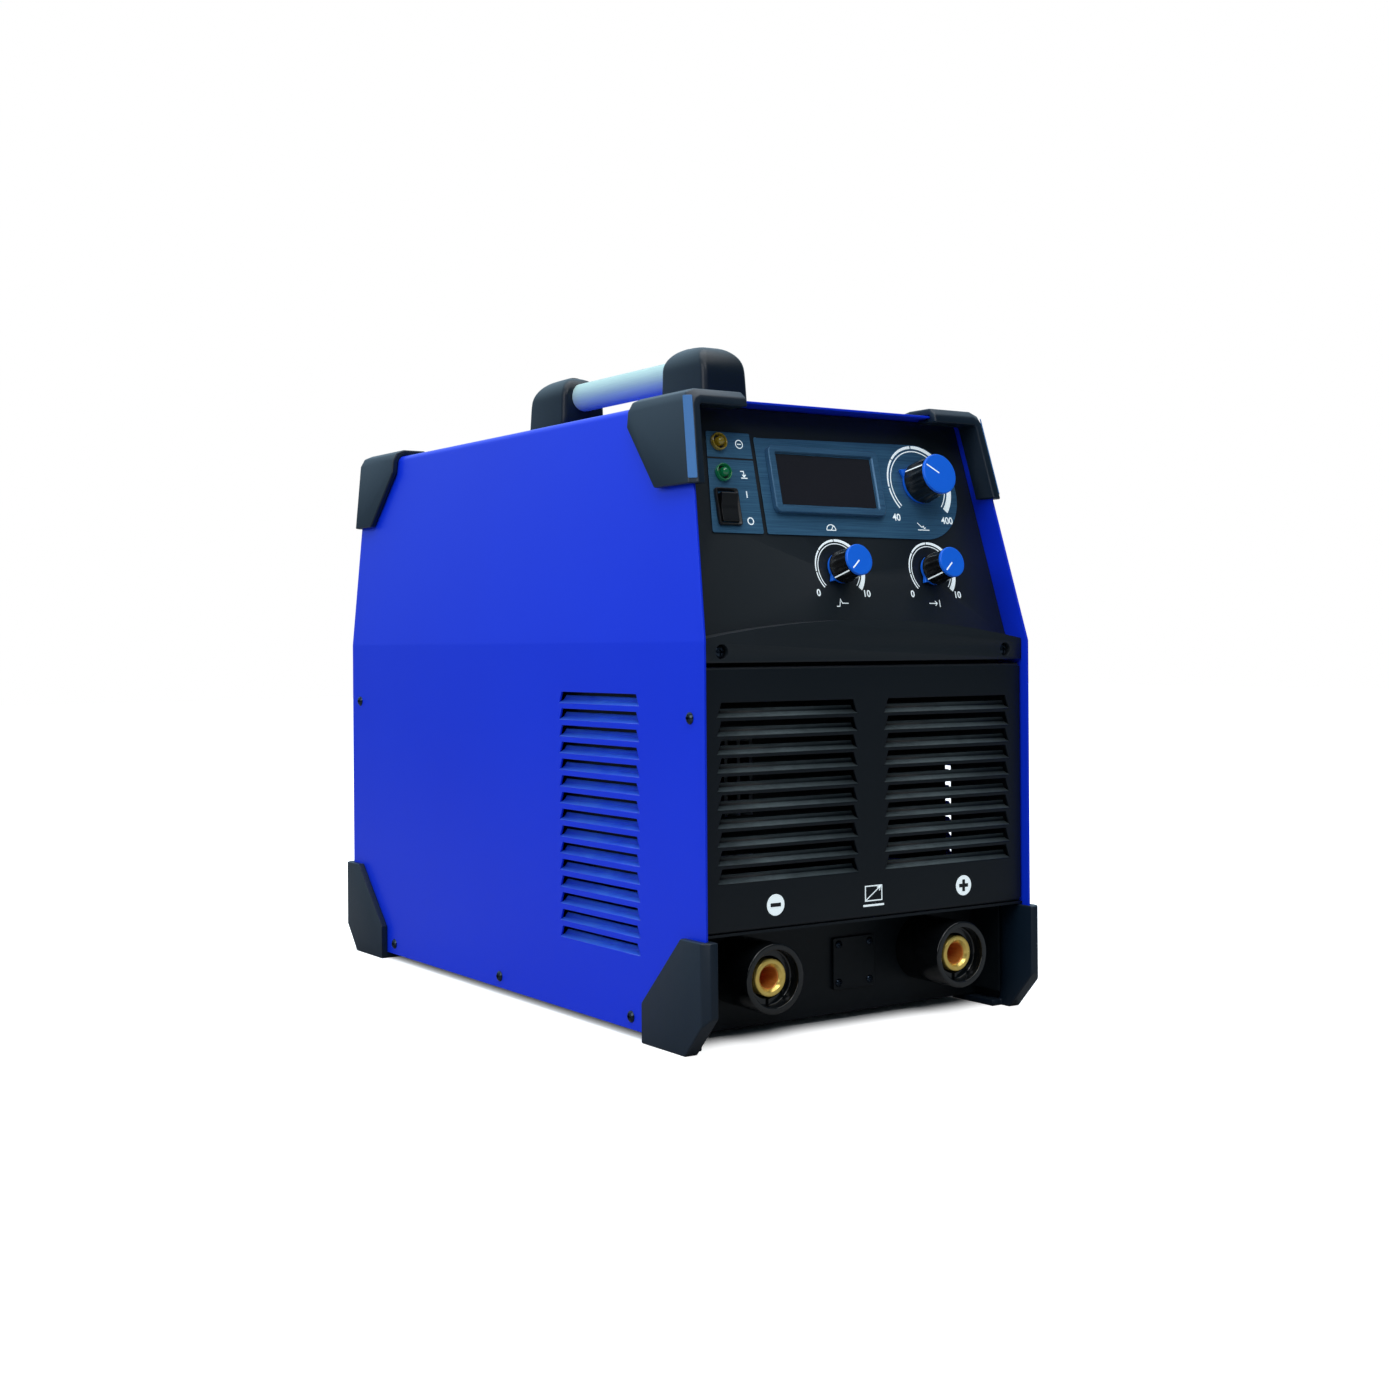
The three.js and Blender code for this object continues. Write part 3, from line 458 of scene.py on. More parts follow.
# Satin aluminium: grey of its own, with a cyan tint in both tones that is a painted reflection of the surround.
satinTube = brushedMaterial("satinTube", (170, 204, 200), (188, 216, 212), 0.42, (1500.0, 30.0, 1500.0), 0.03,
                            Metallic=0.05)
finMetal = brushedMaterial("finMetal", (150, 155, 160), (190, 195, 200), 0.4, (1200.0, 20.0, 1200.0), 0.2,
                           Metallic=1.0)
brassMetal = brushedMaterial("brassMetal", (244, 204, 100), (252, 222, 124), 0.2, (300.0, 300.0, 300.0), 0.02,
                             Metallic=0.55)
boreMetal = brushedMaterial("boreMetal", (220, 128, 44), (248, 168, 84), 0.34, (1200.0, 60.0, 1200.0), 0.2,
                            Metallic=0.25)
labelMetal = brushedMaterial("labelMetal", (46, 86, 118), (78, 132, 170), 0.4, (24.0, 2400.0, 2400.0), 0.15,
                             Metallic=0.35)
meterPlastic = brushedMaterial("meterPlastic", (48, 84, 116), (80, 130, 168), 0.34, (24.0, 2400.0, 2400.0),
                               0.15, Metallic=0.35)
knobBlue = grainedMaterial("knobBlue", (10, 100, 240), (20, 122, 255), 0.34, 0.05, 900, 0.4, 0.12, dustAndSheen=0.02)
stripBlue = grainedMaterial("stripBlue", (24, 92, 158), (38, 116, 180), 0.4, 0.05, 900, 0.4, 0.12, dustAndSheen=0.02)
# The print's emission is painted light: the white marks glow a little.
printWhite = grainedMaterial("printWhite", (222, 232, 236), (240, 246, 248), 0.5, 0.05, 900, 0.4, 0.1,
                             dustAndSheen=0.0, Emission_Color=tone(225, 240, 245), Emission_Strength=0.5)
screwBlack = brushedMaterial("screwBlack", (30, 38, 50), (58, 70, 84), 0.16, (300.0, 300.0, 300.0), 0.03,
                             Metallic=0.9)
switchBlack = grainedMaterial("switchBlack", (11, 12, 14), (17, 18, 21), 0.42, 0.05, 1200, 0.4, 0.2,
                              dustAndSheen=0.03)
printDark = grainedMaterial("printDark", (10, 12, 15), (16, 19, 22), 0.5, 0.05, 900, 0.4, 0.1, dustAndSheen=0.0)
boardGreen = grainedMaterial("boardGreen", (14, 66, 38), (26, 92, 56), 0.38, 0.08, 500, 0.8, 0.3)
copperWire = brushedMaterial("copperWire", (150, 74, 30), (196, 112, 58), 0.32, (60.0, 60.0, 900.0), 0.6,
                             Metallic=1.0)
coreSteel = brushedMaterial("coreSteel", (40, 40, 43), (74, 74, 78), 0.5, (40.0, 2200.0, 40.0), 0.5,
                            Metallic=0.7)
sleeveFilm = grainedMaterial("sleeveFilm", (20, 30, 44), (30, 42, 58), 0.3, 0.05, 700, 0.5, 0.1)
smokedWindow = grainedMaterial("smokedWindow", (24, 20, 26), (32, 27, 33), 0.1, 0.03, 500, 0.3, 0.02,
                               dustAndSheen=0.02, Coat_Weight=0.6, Coat_Roughness=0.04)


def lensMaterial(name, colour, glow):
    material = grainedMaterial(name, colour, tuple(min(255, c + 24) for c in colour), 0.12, 0.04, 500, 0.3, 0.05,
                               dustAndSheen=0.0, Coat_Weight=0.8, Coat_Roughness=0.05)
    shader = material.node_tree.nodes["Principled BSDF"]
    shader.inputs["Emission Color"].default_value = tone(*colour)
    shader.inputs["Emission Strength"].default_value = glow
    return material


amberLens = lensMaterial("amberLens", (140, 118, 22), 0.05)
greenLens = lensMaterial("greenLens", (6, 96, 54), 0.25)
print("materials ready")


def addCamera():
    view = dict(forward=(0.5577, 0.8300), roll=0.007, place=(-0.7262, -1.1305, 0.2396), lens=47.95,
                shiftY=-0.0356)
    camera = bpy.data.cameras.new("camera")
    camera.sensor_width, camera.lens, camera.shift_y = 36, view["lens"], view["shiftY"]
    camera.clip_start, camera.clip_end = 0.05, 60
    forward = Vector((*view["forward"], 0)).normalized()
    side, up = Vector((forward.y, -forward.x, 0)), Vector((0, 0, 1))
    c, s = math.cos(view["roll"]), math.sin(view["roll"])
    axes = Matrix((side * c - up * s, up * c + side * s, -forward)).transposed()
    eye = bpy.data.objects.new("camera", camera)
    bpy.context.scene.collection.objects.link(eye)
    eye.matrix_world = Matrix.Translation(view["place"]) @ axes.to_4x4()
    bpy.context.scene.camera = eye


# A soft square light at `place`, turned to face the machine.
def addLight(name, place, size, power):
    lamp = bpy.data.lights.new(name, "AREA")
    lamp.shape, lamp.size, lamp.energy = "SQUARE", size, power
    light = bpy.data.objects.new(name, lamp)
    bpy.context.scene.collection.objects.link(light)
    aim = Vector((0, 0, 0.2)) - Vector(place)
    light.matrix_world = Matrix.Translation(place) @ aim.to_track_quat("-Z", "Y").to_matrix().to_4x4()


# The paper glows for the camera only, and not under the machine, which paints a shadow under and round it: distance
# = length(max(|place - middle| - shadowFootprint, 0)), glow rises over its first `skirt` metres.
def makePaper(stage):
    paper, shader = newMaterial("paper", Roughness=0.9, Emission_Color=(1, 1, 1, 1), Specular_IOR_Level=0.1)
    tree = paper.node_tree
    place = addNode(tree, "ShaderNodeTexCoord")
    steps = [addNode(tree, "ShaderNodeVectorMath", operation=operation)
             for operation in ("SUBTRACT", "ABSOLUTE", "SUBTRACT", "MAXIMUM", "LENGTH")]
    for node, value in ((steps[0], stage["middle"]), (steps[2], stage["shadowFootprint"]), (steps[3], (0, 0, 0))):
        node.inputs[1].default_value = value
    glow = spanNode(tree, 0, stage["skirt"], 0, stage["glow"], interpolation_type="SMOOTHSTEP")
    path = addNode(tree, "ShaderNodeLightPath")
    shade = colourMix(tree, (stage["paperBounce"],) * 3 + (1,), (stage["paperSeen"],) * 3 + (1,))
    seen = addNode(tree, "ShaderNodeMath", operation="MULTIPLY")
    wire(tree, (place, "Object", steps[0], 0), *[(a, "Vector", b, 0) for a, b in zip(steps, steps[1:])],
         (steps[-1], "Value", glow, "Value"), (path, "Is Camera Ray", shade, 0), (shade, 2, shader, "Base Color"),
         (glow, "Result", seen, 0), (path, "Is Camera Ray", seen, 1), (seen, 0, shader, "Emission Strength"))
    return paper


# The camera sees a white surround; the object sees a room that is bright behind it and dark in front.
def makeSurround(stage):
    world = bpy.data.worlds.new("surround")
    bpy.context.scene.world = world
    world.use_nodes = True
    tree = world.node_tree
    back = tree.nodes["Background"]
    path = addNode(tree, "ShaderNodeLightPath")
    direction = addNode(tree, "ShaderNodeTexCoord")
    split = addNode(tree, "ShaderNodeSeparateXYZ")
    room = spanNode(tree, -0.25, 0.75, stage["roomFront"], stage["roomRear"])
    height = spanNode(tree, 0.0, 0.5, stage["horizon"], stage["zenith"])
    both = addNode(tree, "ShaderNodeMath", operation="MULTIPLY")
    level = addNode(tree, "ShaderNodeMix", data_type="FLOAT")
    level.inputs[3].default_value = 1.0
    tint = colourMix(tree, stage["roomTint"])
    wire(tree, (direction, "Generated", split, "Vector"), (split, "Y", room, "Value"),
         (split, "Z", height, "Value"), (room, "Result", both, 0), (height, "Result", both, 1), (both, 0, level, 2),
         (path, "Is Camera Ray", level, 0), (path, "Is Camera Ray", tint, 0),
         (level, 0, back, "Strength"), (tint, 2, back, "Color"))


def addStage():
    stage = dict(reach=14.0, shadowFootprint=(0.112, 0.215, 0.0), middle=(0.0, 0.018, 0.0), skirt=0.032, glow=0.85,
                 paperSeen=0.85, paperBounce=0.32, roomFront=0.12, roomRear=1.0, horizon=0.3, zenith=1.25,
                 roomTint=(0.55, 0.80, 1.0, 1))
    floorMesh = bpy.data.meshes.new("floor")
    corners = np.array(box2(0, 0, stage["reach"], stage["reach"]))
    floorMesh.from_pydata(np.column_stack([corners, np.zeros(4)]).tolist(), [], [(0, 1, 2, 3)])
    floor = bpy.data.objects.new("floor", floorMesh)
    bpy.context.scene.collection.objects.link(floor)
    floorMesh.materials.append(makePaper(stage))
    makeSurround(stage)
    bpy.context.scene.view_settings.view_transform = "Standard"


addCamera()
addStage()
addLight("leftPanel", (-2.5, -0.7, 1.4), size=1.8, power=29)
addLight("overhead", (0.0, -0.2, 2.6), size=3.0, power=55)
addLight("frontFill", (-0.9, -2.2, 2.3), size=1.2, power=20)
print("camera, floor and lights ready")


# The sheet is a grid of (depth, run, height) rows: the section gives depth and height, the columns
# the run. Grid lines step in by `slope` along the top of each window, and the windows' faces are left out.
def louvreFeet(spec):
    return spec["first"] - spec["pitch"] * np.arange(spec["count"])


def louvredGrid(section, columns, groups, low, high, spec):
    depth, height = np.asarray(section, float).T
    feet = louvreFeet(spec)
    isTop = (np.abs(height[:, None] - feet - spec["tall"]) < 1e-6).any(1)
    base = np.sort(np.concatenate([np.ravel(groups), columns]))
    lean = np.zeros(len(base))
    for near, far in groups:
        lean[np.isclose(base, near)], lean[np.isclose(base, far)] = 1, -1
    run = base + lean * spec["slope"] * isTop[:, None]
    run = np.column_stack([low(height), run, high(height)])
    points = np.stack([np.broadcast_to(depth[:, None], run.shape), run,
                       np.broadcast_to(height[:, None], run.shape)], -1)
    middle = (height[1:] + height[:-1])[:, None] / 2
    inRow = ((middle > feet) & (middle < feet + spec["tall"]) & (depth[1:] == depth[:-1])[:, None]).any(1)
    keep = np.ones((len(height) - 1, run.shape[1] - 1), bool)
    for near, far in groups:
        inColumn = (base[:-1] >= near - 1e-6) & (base[1:] <= far + 1e-6)
        keep[np.ix_(inRow, np.concatenate([[False], inColumn, [False]]))] = False
    return points, keep


def windowRows(spec):
    feet = louvreFeet(spec)
    return np.sort(np.concatenate([feet, feet + spec["tall"]]))


# A slat leaves the window's lower edge as a lip sloping inwards, then stands nearly upright behind the
# window. Its side view is three corners, the two bends rounded; its ends are cut to the window.
def slatGrid(wall, inward, foot, near, far, spec):
    (lipDeep, lipHigh), bend = spec["lip"], spec["radius"]
    start = bend * math.tan(math.atan2(lipDeep, lipHigh) / 2)
    view = outline([(0, -5), (0, start), (lipDeep, start + lipHigh),
                    (spec["reach"], spec["tall"] - spec["slit"])], [0, bend, bend, 0], 5)[1:]
    support = 0.88 * view[-2] + 0.12 * view[-1]    # keeps the pane's shading flat above its bend
    depth, rise = np.insert(view, -1, support, 0).T
    shift = spec["slope"] * rise / spec["tall"] + spec["endGap"] * depth / spec["reach"]
    ends = np.stack([near + shift, far - shift], -1)
    return np.stack([np.broadcast_to((wall + inward * depth)[:, None], ends.shape), ends,
                     np.broadcast_to((foot + rise)[:, None], ends.shape)], -1)


def makeCover():
    side = dict(count=15, pitch=10.85, first=198.0, tall=7.4, slope=3.3, lip=(2.6, 1.9), reach=3.7, slit=2.2,
                endGap=1.2, radius=1.0, near=71.0, far=168.4)
    foldRadius = 16.0
    group = (side["near"] - halfLong, side["far"] - halfLong)

    def endCut(z):
        return case["cornerDeep"] * np.clip(1 - z / case["cornerHigh"], 0, None)

    def frontEdge(z):
        return -halfLong + leanSlope * np.clip(z - case["fold"], 0, None) + endCut(z)

    shoulder = outline([(halfWide, 0), (halfWide, case["fold"]), (halfWide - case["taperIn"], caseTop),
                        (0, caseTop)], [0, foldRadius, case["bend"], 0], steps=8)[1:]
    wall = np.sort(np.concatenate([[0, case["cornerHigh"]], windowRows(side)]))
    half = np.concatenate([np.column_stack([np.full(len(wall), halfWide), wall]), shoulder])
    section = np.concatenate([half, half[-2::-1] * [-1, 1]])
    points, keep = louvredGrid(section, [], [group], frontEdge, lambda z: halfLong - endCut(z), side)
    makePiece("coverSheet", gridPart(points, keep=keep), bluePaint, slot="blue_paint", stands=["cover"],
              recalc=False, sheet=case["sheet"], bevel=0.35)
    slats = []
    for foot in louvreFeet(side):
        points, faces = gridPart(slatGrid(halfWide, -1, foot, *group, side))
        slats += [(points, faces), (points * [-1, 1, 1], [face[::-1] for face in faces])]
    makePiece("coverSlats", joinParts(*slats), slatPaint, slot="blue_paint", recalc=False, sheet=case["sheet"])


def makeGrille():
    front = dict(count=10, pitch=10.8, first=192.3, tall=9.0, slope=3.3, lip=(2.9, 2.0), reach=3.2, slit=3.6,
                 endGap=1.0, radius=1.0, low=66.5, high=222.0, wide=126.2, back=5.6, hem=4.0, flange=12.0, bend=2.0,
                 near=10.5, far=115.5, slatSheet=0.6)
    face = front["back"] - halfLong
    r, quarter = front["bend"], np.linspace(0, np.pi / 2, 6)
    arc = np.column_stack([face + r * (1 - np.cos(quarter)), r * np.sin(quarter)])
    foot = np.concatenate([[(face + front["hem"], front["low"])], (arc * [1, -1] + [0, front["low"] + r])[::-1]])
    top = np.concatenate([arc + [0, front["high"] - r], [(face + front["flange"], front["high"])]])
    wall = windowRows(front)
    section = np.concatenate([foot, np.column_stack([np.full(len(wall), face), wall]), top])
    bendAt = front["wide"] - r
    groups = [(-front["far"], -front["near"]), (front["near"], front["far"])]
    turnArc = bendAt + r * quarter
    columns = np.concatenate([-turnArc, turnArc])
    edge = turnArc[-1] + front["flange"] - r
    points, keep = louvredGrid(section, columns, groups, lambda z: 0 * z - edge, lambda z: 0 * z + edge, front)
    # Columns past the bend turn back round the corner: the run becomes an arc, then straight depth.
    run = np.abs(points[..., 1])
    past = np.clip(run - bendAt, 0, None)
    angle = np.clip(past / r, 0, np.pi / 2)
    x = np.sign(points[..., 1]) * (np.clip(run, 0, bendAt) + r * np.sin(angle))
    y = points[..., 0] + r * (1 - np.cos(angle)) + np.clip(past - r * np.pi / 2, 0, None)
    flat, corner = np.isclose(section[:, 0], face), run[0] > bendAt + 1e-6
    keep[np.ix_(~(flat[1:] & flat[:-1]), corner[1:] | corner[:-1])] = False
    makePiece("grilleSheet", gridPart(np.stack([x, y, points[..., 2]], -1), keep=keep), blackPaint,
              slot="black_paint", stands=["grille_panel"], recalc=False, sheet=case["sheet"], bevel=0.3)
    slats = [gridPart(slatGrid(face, 1, height, near, far, front)[..., [1, 0, 2]])
             for height in louvreFeet(front) for near, far in groups]
    makePiece("grilleSlats", joinParts(*slats), slatBlack, slot="black_paint", recalc=False,
              sheet=front["slatSheet"])


# Black film inside the side walls, a painted shade where the inside is in shadow: a strip beside the front panel,
# with a deeper flap at the seam, and a second film that leaves a notched opening behind the side louvres.
def makeShadeFilms():
    shadeSheet = dict(x=118.6, high=236.0, thick=0.6)
    high = shadeSheet["high"]
    strip = [(20, 6), (66, 6), (66, high), (20, high), (20, 216), (8.6, 216), (8.6, 72), (20, 72)]
    flap = [(66, 158), (72, 158), (72, 84), (140, 84), (140, 102), (166, 102), (166, 40), (425, 40), (425, high),
            (66, high)]
    points, faces = joinParts(*[slab(np.array(shape) - [halfLong, 0], 0, shadeSheet["thick"])
                                for shape in (strip, flap)])
    makePair("wallShadeFilm", (points[:, [2, 0, 1]] + [shadeSheet["x"], 0, 0], faces), blackMoulding, slot="black_plastic")


makeCover()
makeGrille()
makeShadeFilms()
print("louvred sheets ready")


# The corner guards keep their CAD shape with softened edges.
for end in ("front", "rear"):
    for level in ("lower", "upper"):
        for hand in ("left", "right"):
            softened(f"guard_{end}_{level}_{hand}", f"guard{end.title()}{level.title()}{hand.title()}",
                     guardMoulding, slot="guard_plastic", bevel=1.1, segments=3)


# A light blue strip on the leaning bevel between each upper front guard's side and front.
def makeBevelStrips():
    bevelStrip = dict(low=333.2, high=383.6, inner=0.6, outer=5.0, ahead=6.0, bevel=4.4, margin=0.2, corner=0.8,
                 sunk=0.4, proud=0.35)

    def along(z, offset, y):
        x = halfWide + offset * math.hypot(1, taperSlope) - taperSlope * (z - case["fold"])
        return np.stack([x, y + leanSlope * (z - case["fold"]), z], -1)

    wide = bevelStrip["bevel"] * math.sqrt(2)
    left, right = bevelStrip["margin"], wide - bevelStrip["margin"]
    shape = outline([(left, bevelStrip["low"]), (right, bevelStrip["low"]), (right, bevelStrip["high"]), (left, bevelStrip["high"])],
                    bevelStrip["corner"], 4)
    points, faces = slab(shape, -bevelStrip["sunk"], bevelStrip["proud"])
    near = along(points[:, 1], bevelStrip["inner"], -halfLong - bevelStrip["ahead"])
    far = along(points[:, 1], bevelStrip["outer"], -halfLong - bevelStrip["ahead"] + bevelStrip["bevel"])
    across = (far - near) / np.linalg.norm(far - near, axis=-1, keepdims=True)
    points = near + across * points[:, :1] + np.array([0.707, -0.707, 0.0]) * points[:, 2:]
    makePair("guardBevelStrip", (points, faces), stripBlue, slot="knob_blue", bevel=0.2)


makeBevelStrips()
print("guards ready")


# A bracket is a stack of rounded rectangles. Its side view gives each one's front and back, its end
# view gives the width: slightly flared, closed by a round arch on top.
def bracketPart(outerY, inward):
    bracket = dict(foot=41.0, reach=57.0, gusset=22.0, rise=59.6, lean=4.0, drop=3.0, wide=19.6, wideTop=17.6,
                   arch=16.6, edge=4.5, lift=0.3)
    tall, arch = bracket["rise"], bracket["arch"]
    sideView = outline([(0, 0), (bracket["foot"], 0), (bracket["reach"], bracket["gusset"]),
                        (bracket["reach"], tall), (bracket["lean"], tall - bracket["drop"])],
                       [0, 0, 14, 14, 22], steps=10)
    crest = int(np.argmax(sideView[:, 1]))
    tubeSide, outerSide = sideView[1:crest + 1], np.concatenate([sideView[crest:], sideView[:1]])[::-1]
    spring = tall - arch
    z = np.concatenate([np.linspace(0, spring, 20)[:-1], spring + arch * np.sin(np.linspace(0, np.pi / 2, 18))])
    wide = bracket["wide"] + (bracket["wideTop"] - bracket["wide"]) * z / tall
    wide = wide * np.sqrt(1 - (np.clip(z - spring, 0, None) / arch) ** 2).clip(0)
    low, high = (np.interp(z, view[:, 1], view[:, 0]) for view in (outerSide, tubeSide))
    rings = []
    for level, half, a, b in zip(z, wide, low, high):
        half, b = max(half, 0.05), max(b, a + 0.1)
        edge = min(bracket["edge"], half * 0.98, (b - a) * 0.45)
        ring = outline([(-half, a), (half, a), (half, b), (-half, b)], edge, 6)
        rings.append(np.column_stack([ring[:, 0], outerY + inward * ring[:, 1],
                                      np.full(len(ring), caseTop + bracket["lift"] + level)]))
    return loftPart(np.array(rings))


def makeHandle():
    tube = dict(start=-55.5, end=119.5, axis=43.0, radius=10.75, wall=1.5)
    for title, node, outerY, inward in (("Front", "front", -93, 1), ("Rear", "rear", 157, -1)):
        makePiece(f"handleBracket{title}", bracketPart(outerY, inward), handleMoulding, slot="black_plastic",
                  stands=[f"handle_bracket_{node}"], sharp=55)
    inner = tube["radius"] - tube["wall"]
    barrel = turnedRing([(inner, tube["start"]), (tube["radius"], tube["start"]),
                         (tube["radius"], tube["end"]), (inner, tube["end"])], 72)
    makePiece("handleTube", placed(barrel, facingRear(0, 0, caseTop + tube["axis"])), satinTube,
              slot="satin_aluminium", stands=["handle_tube"])


makeHandle()
print("handle ready")


# A pan head: a shallow dome whose crossed slots sink in where |x| or |y| is small near the middle.
def screwPart(radius, tall):
    cross = dict(depth=0.66, halfWide=0.15, wallWide=0.05, reach=0.62, wallReach=0.06, foot=-0.8)
    r = np.linspace(0, 1, 22)[:, None]
    angle = np.linspace(0, 2 * np.pi, 56, endpoint=False)[None]
    x, y = r * np.cos(angle), r * np.sin(angle)
    slot = np.clip((cross["halfWide"] - np.minimum(np.abs(x), np.abs(y))) / cross["wallWide"], 0, 1)
    slot = slot * np.clip((cross["reach"] - r) / cross["wallReach"], 0, 1)
    height = tall * (1 - 0.75 * r ** 2.6) - tall * cross["depth"] * slot
    rings = np.stack([radius * x, radius * y, height], -1)
    skirt = np.stack([radius * x[-1], radius * y[-1], np.full(angle.shape[1], cross["foot"])], -1)
    return loftPart(np.concatenate([skirt[None], rings[::-1]]))


def makeSideScrews():
    screw = dict(radius=3.6, tall=2.1, near=15.0, row=192.5, low=8.0, stations=(82.0, 253.0, 424.0))
    spots = [(screw["near"], screw["row"]), (2 * halfLong - screw["near"], screw["row"])]
    spots += [(station, screw["low"]) for station in screw["stations"]]
    head = screwPart(screw["radius"], screw["tall"])
    heads = [placed(head, facingSide(halfWide, run - halfLong, z)) for run, z in spots]
    makePair("sideScrews", joinParts(*heads), screwBlack, slot="zinc_steel", sharp=60)


def makeFrontScrews():
    screw = dict(x=112.0, z=231.0, radius=4.1, tall=2.0, recess=8.4)
    head = screwPart(screw["radius"], screw["tall"])
    heads = [placed(head, facingFront(screw["recess"] - halfLong, side * screw["x"], screw["z"]))
             for side in (-1, 1)]
    makePiece("bezelScrews", joinParts(*heads), screwBlack, slot="zinc_steel", sharp=60)


makeSideScrews()
makeFrontScrews()
softened("front_bezel", "frontBezel", blackMoulding, slot="black_plastic", bevel=1.6, segments=3)
print("screws and bezel ready")


# Heights above the sloping panel.
seat = dict(labelLow=0.3, label=0.8, fitting=1.1)


def makeLabels():
    main = dict(left=-57.0, low=67.5, high=132.1, roundX=71.0)
    strip = dict(lowLeft=-98.0, highLeft=-92.3, right=-60.0, divider=115.0, grooveLeft=-93.9, groove=1.1)
    roundHigh = (main["high"] - main["low"]) / 2
    angle = np.linspace(-np.pi / 2, np.pi / 2, 49)
    arc = np.column_stack([main["roundX"] + roundHigh * np.cos(angle),
                           main["low"] + roundHigh * (1 + np.sin(angle))])
    corners = [(main["left"], main["high"]), (main["left"], main["low"]), (0, main["low"])]
    mainShape = np.concatenate([outline(corners, [1.2, 1.2, 0], 4)[:10], arc])
    stripShape = outline([(strip["lowLeft"], main["low"]), (strip["right"], main["low"]),
                           (strip["right"], main["high"]), (strip["highLeft"], main["high"])], 1.2, 4)
    for title, node, shape in (("Main", "main", mainShape), ("Side", "side", stripShape)):
        makePiece(f"label{title}", placed(slab(shape, seat["labelLow"], seat["label"]), onPanel), labelMetal,
                  slot="brushed_label", stands=[f"label_{node}"], bevel=0.15)
    line = [(strip["grooveLeft"], strip["divider"]), (strip["right"], strip["divider"])]
    makePiece("labelGroove", placed(printedLine(line, strip["groove"], seat["label"]), onPanel), printDark,
              slot="black_plastic")


def makeMeter():
    meter = dict(x=-6.4, w=102.8, width=87.3, height=43.4, windowWide=76.5, windowHigh=34.4, corner=4.0,
                 tall=3.6)
    foot, top = seat["fitting"], seat["fitting"] + meter["tall"]

    def window(shrink, radius):    # the window's outline, made smaller by `shrink` each way
        return outline(box2(meter["x"], meter["w"], meter["windowWide"] - shrink, meter["windowHigh"] - shrink),
                       radius, 6)

    outer = outline(box2(meter["x"], meter["w"], meter["width"], meter["height"]), meter["corner"], 6)
    section = [(0, foot), (0, top - 0.7), (0.03, top - 0.3), (0.1, top), (0.86, top), (0.97, top - 0.8),
               (1, top - 1.2), (1, foot)]
    makePiece("meterFrame", placed(ringSlab(outer, window(0, 0.8), section), onPanel), meterPlastic,
              slot="meter_plastic", stands=["meter_frame"], sharp=30)
    trim = printedLine(window(0.9, 0.6), 0.45, foot + 1.5, 0.5, closed=True)
    makePiece("meterTrim", placed(trim, onPanel), labelMetal, slot="meter_plastic")
    makePiece("meterWindow", placed(slab(window(0.5, 0.8), foot, foot + 1.6), onPanel), smokedWindow,
              slot="meter_window", stands=["meter_window"], bevel=0.2)


def makeLamps():
    lamp = dict(collar=5.7, inner=4.1, seat=4.3, dome=2.9, spring=2.2, rise=2.6)
    base = seat["fitting"]
    quarter = np.linspace(0, np.pi / 2, 9)
    dome = [(lamp["dome"], base)]
    dome += [(lamp["dome"] * math.cos(t), base + lamp["spring"] + lamp["rise"] * math.sin(t)) for t in quarter]
    collar = outline([(lamp["collar"], base), (lamp["collar"] - 0.2, base + 2.4), (4.8, base + 2.8),
                      (lamp["inner"], base + 0.2)], [0.2, 0.5, 0.3, 0.1], 4)
    for name, lens, slot, x, w in (("Fault", amberLens, "amber_lens", -84.6, 125.2),
                                   ("Ready", greenLens, "green_lens", -84.5, 105.6)):
        points, faces = joinParts(turnedRing(collar, 40), turned(dome, 40))
        makePiece(f"lamp{name}", placed((points + [x, w, 0], faces), onPanel), lens, slot=slot,
                  stands=[f"led_{name.lower()}"], sharp=50)
        disc = slab(circle(x, w, lamp["seat"], 40), base - 0.3, base + 0.3)
        makePiece(f"lamp{name}Seat", placed(disc, onPanel), printDark, slot="black_plastic")


def makeSwitch():
    switch = dict(x=-84.6, w=83.7, width=17.2, height=23.6, openWide=12.6, openHigh=20.4, pivot=-0.6, tip=10.0,
                  half=6.0, deep=-8.0)
    low, deep = seat["fitting"], switch["deep"]
    outer = outline(box2(switch["x"], switch["w"], switch["width"], switch["height"]), 1.8, 5)
    inner = outline(box2(switch["x"], switch["w"], switch["openWide"], switch["openHigh"]), 0.6, 5)
    section = [(0, low), (0, low + 1.4), (0.15, low + 1.9), (0.35, low + 2.0), (0.8, low + 1.4), (1, low + 1.0),
               (1, deep), (0.6, deep), (0.6, low)]
    makePiece("switchFrame", placed(ringSlab(outer, inner, section), onPanel), switchBlack,
              slot="black_plastic", stands=["switch_housing"], sharp=30)
    # The rocker's side view is two flat paddles meeting at a shallow valley, tipped to its rest.
    view = outline([(0, 3.7), (-9.2, 5.5), (-7.6, -4.4), (7.6, -4.4), (9.2, 5.5)], [9, 0.9, 1, 1, 0.9], 6)
    c, s = math.cos(math.radians(switch["tip"])), math.sin(math.radians(switch["tip"]))
    view = view @ np.array([[c, s], [-s, c]]) + [switch["w"], switch["pivot"]]
    points, faces = slab(view, -switch["half"], switch["half"])
    makePiece("switchRocker", placed((points[:, [2, 0, 1]] + [switch["x"], 0, 0], faces), onPanel), switchBlack,
              body="power_rocker", slot="gloss_black", stands=["switch_rocker"], bevel=0.4)


makeLabels()
makeMeter()
makeLamps()
makeSwitch()
print("labels, meter, lamps and switch ready")


def arcPoints(x, y, radius, start, end, count=24):
    return polar(radius, np.radians(np.linspace(start, end, count))) + [x, y]


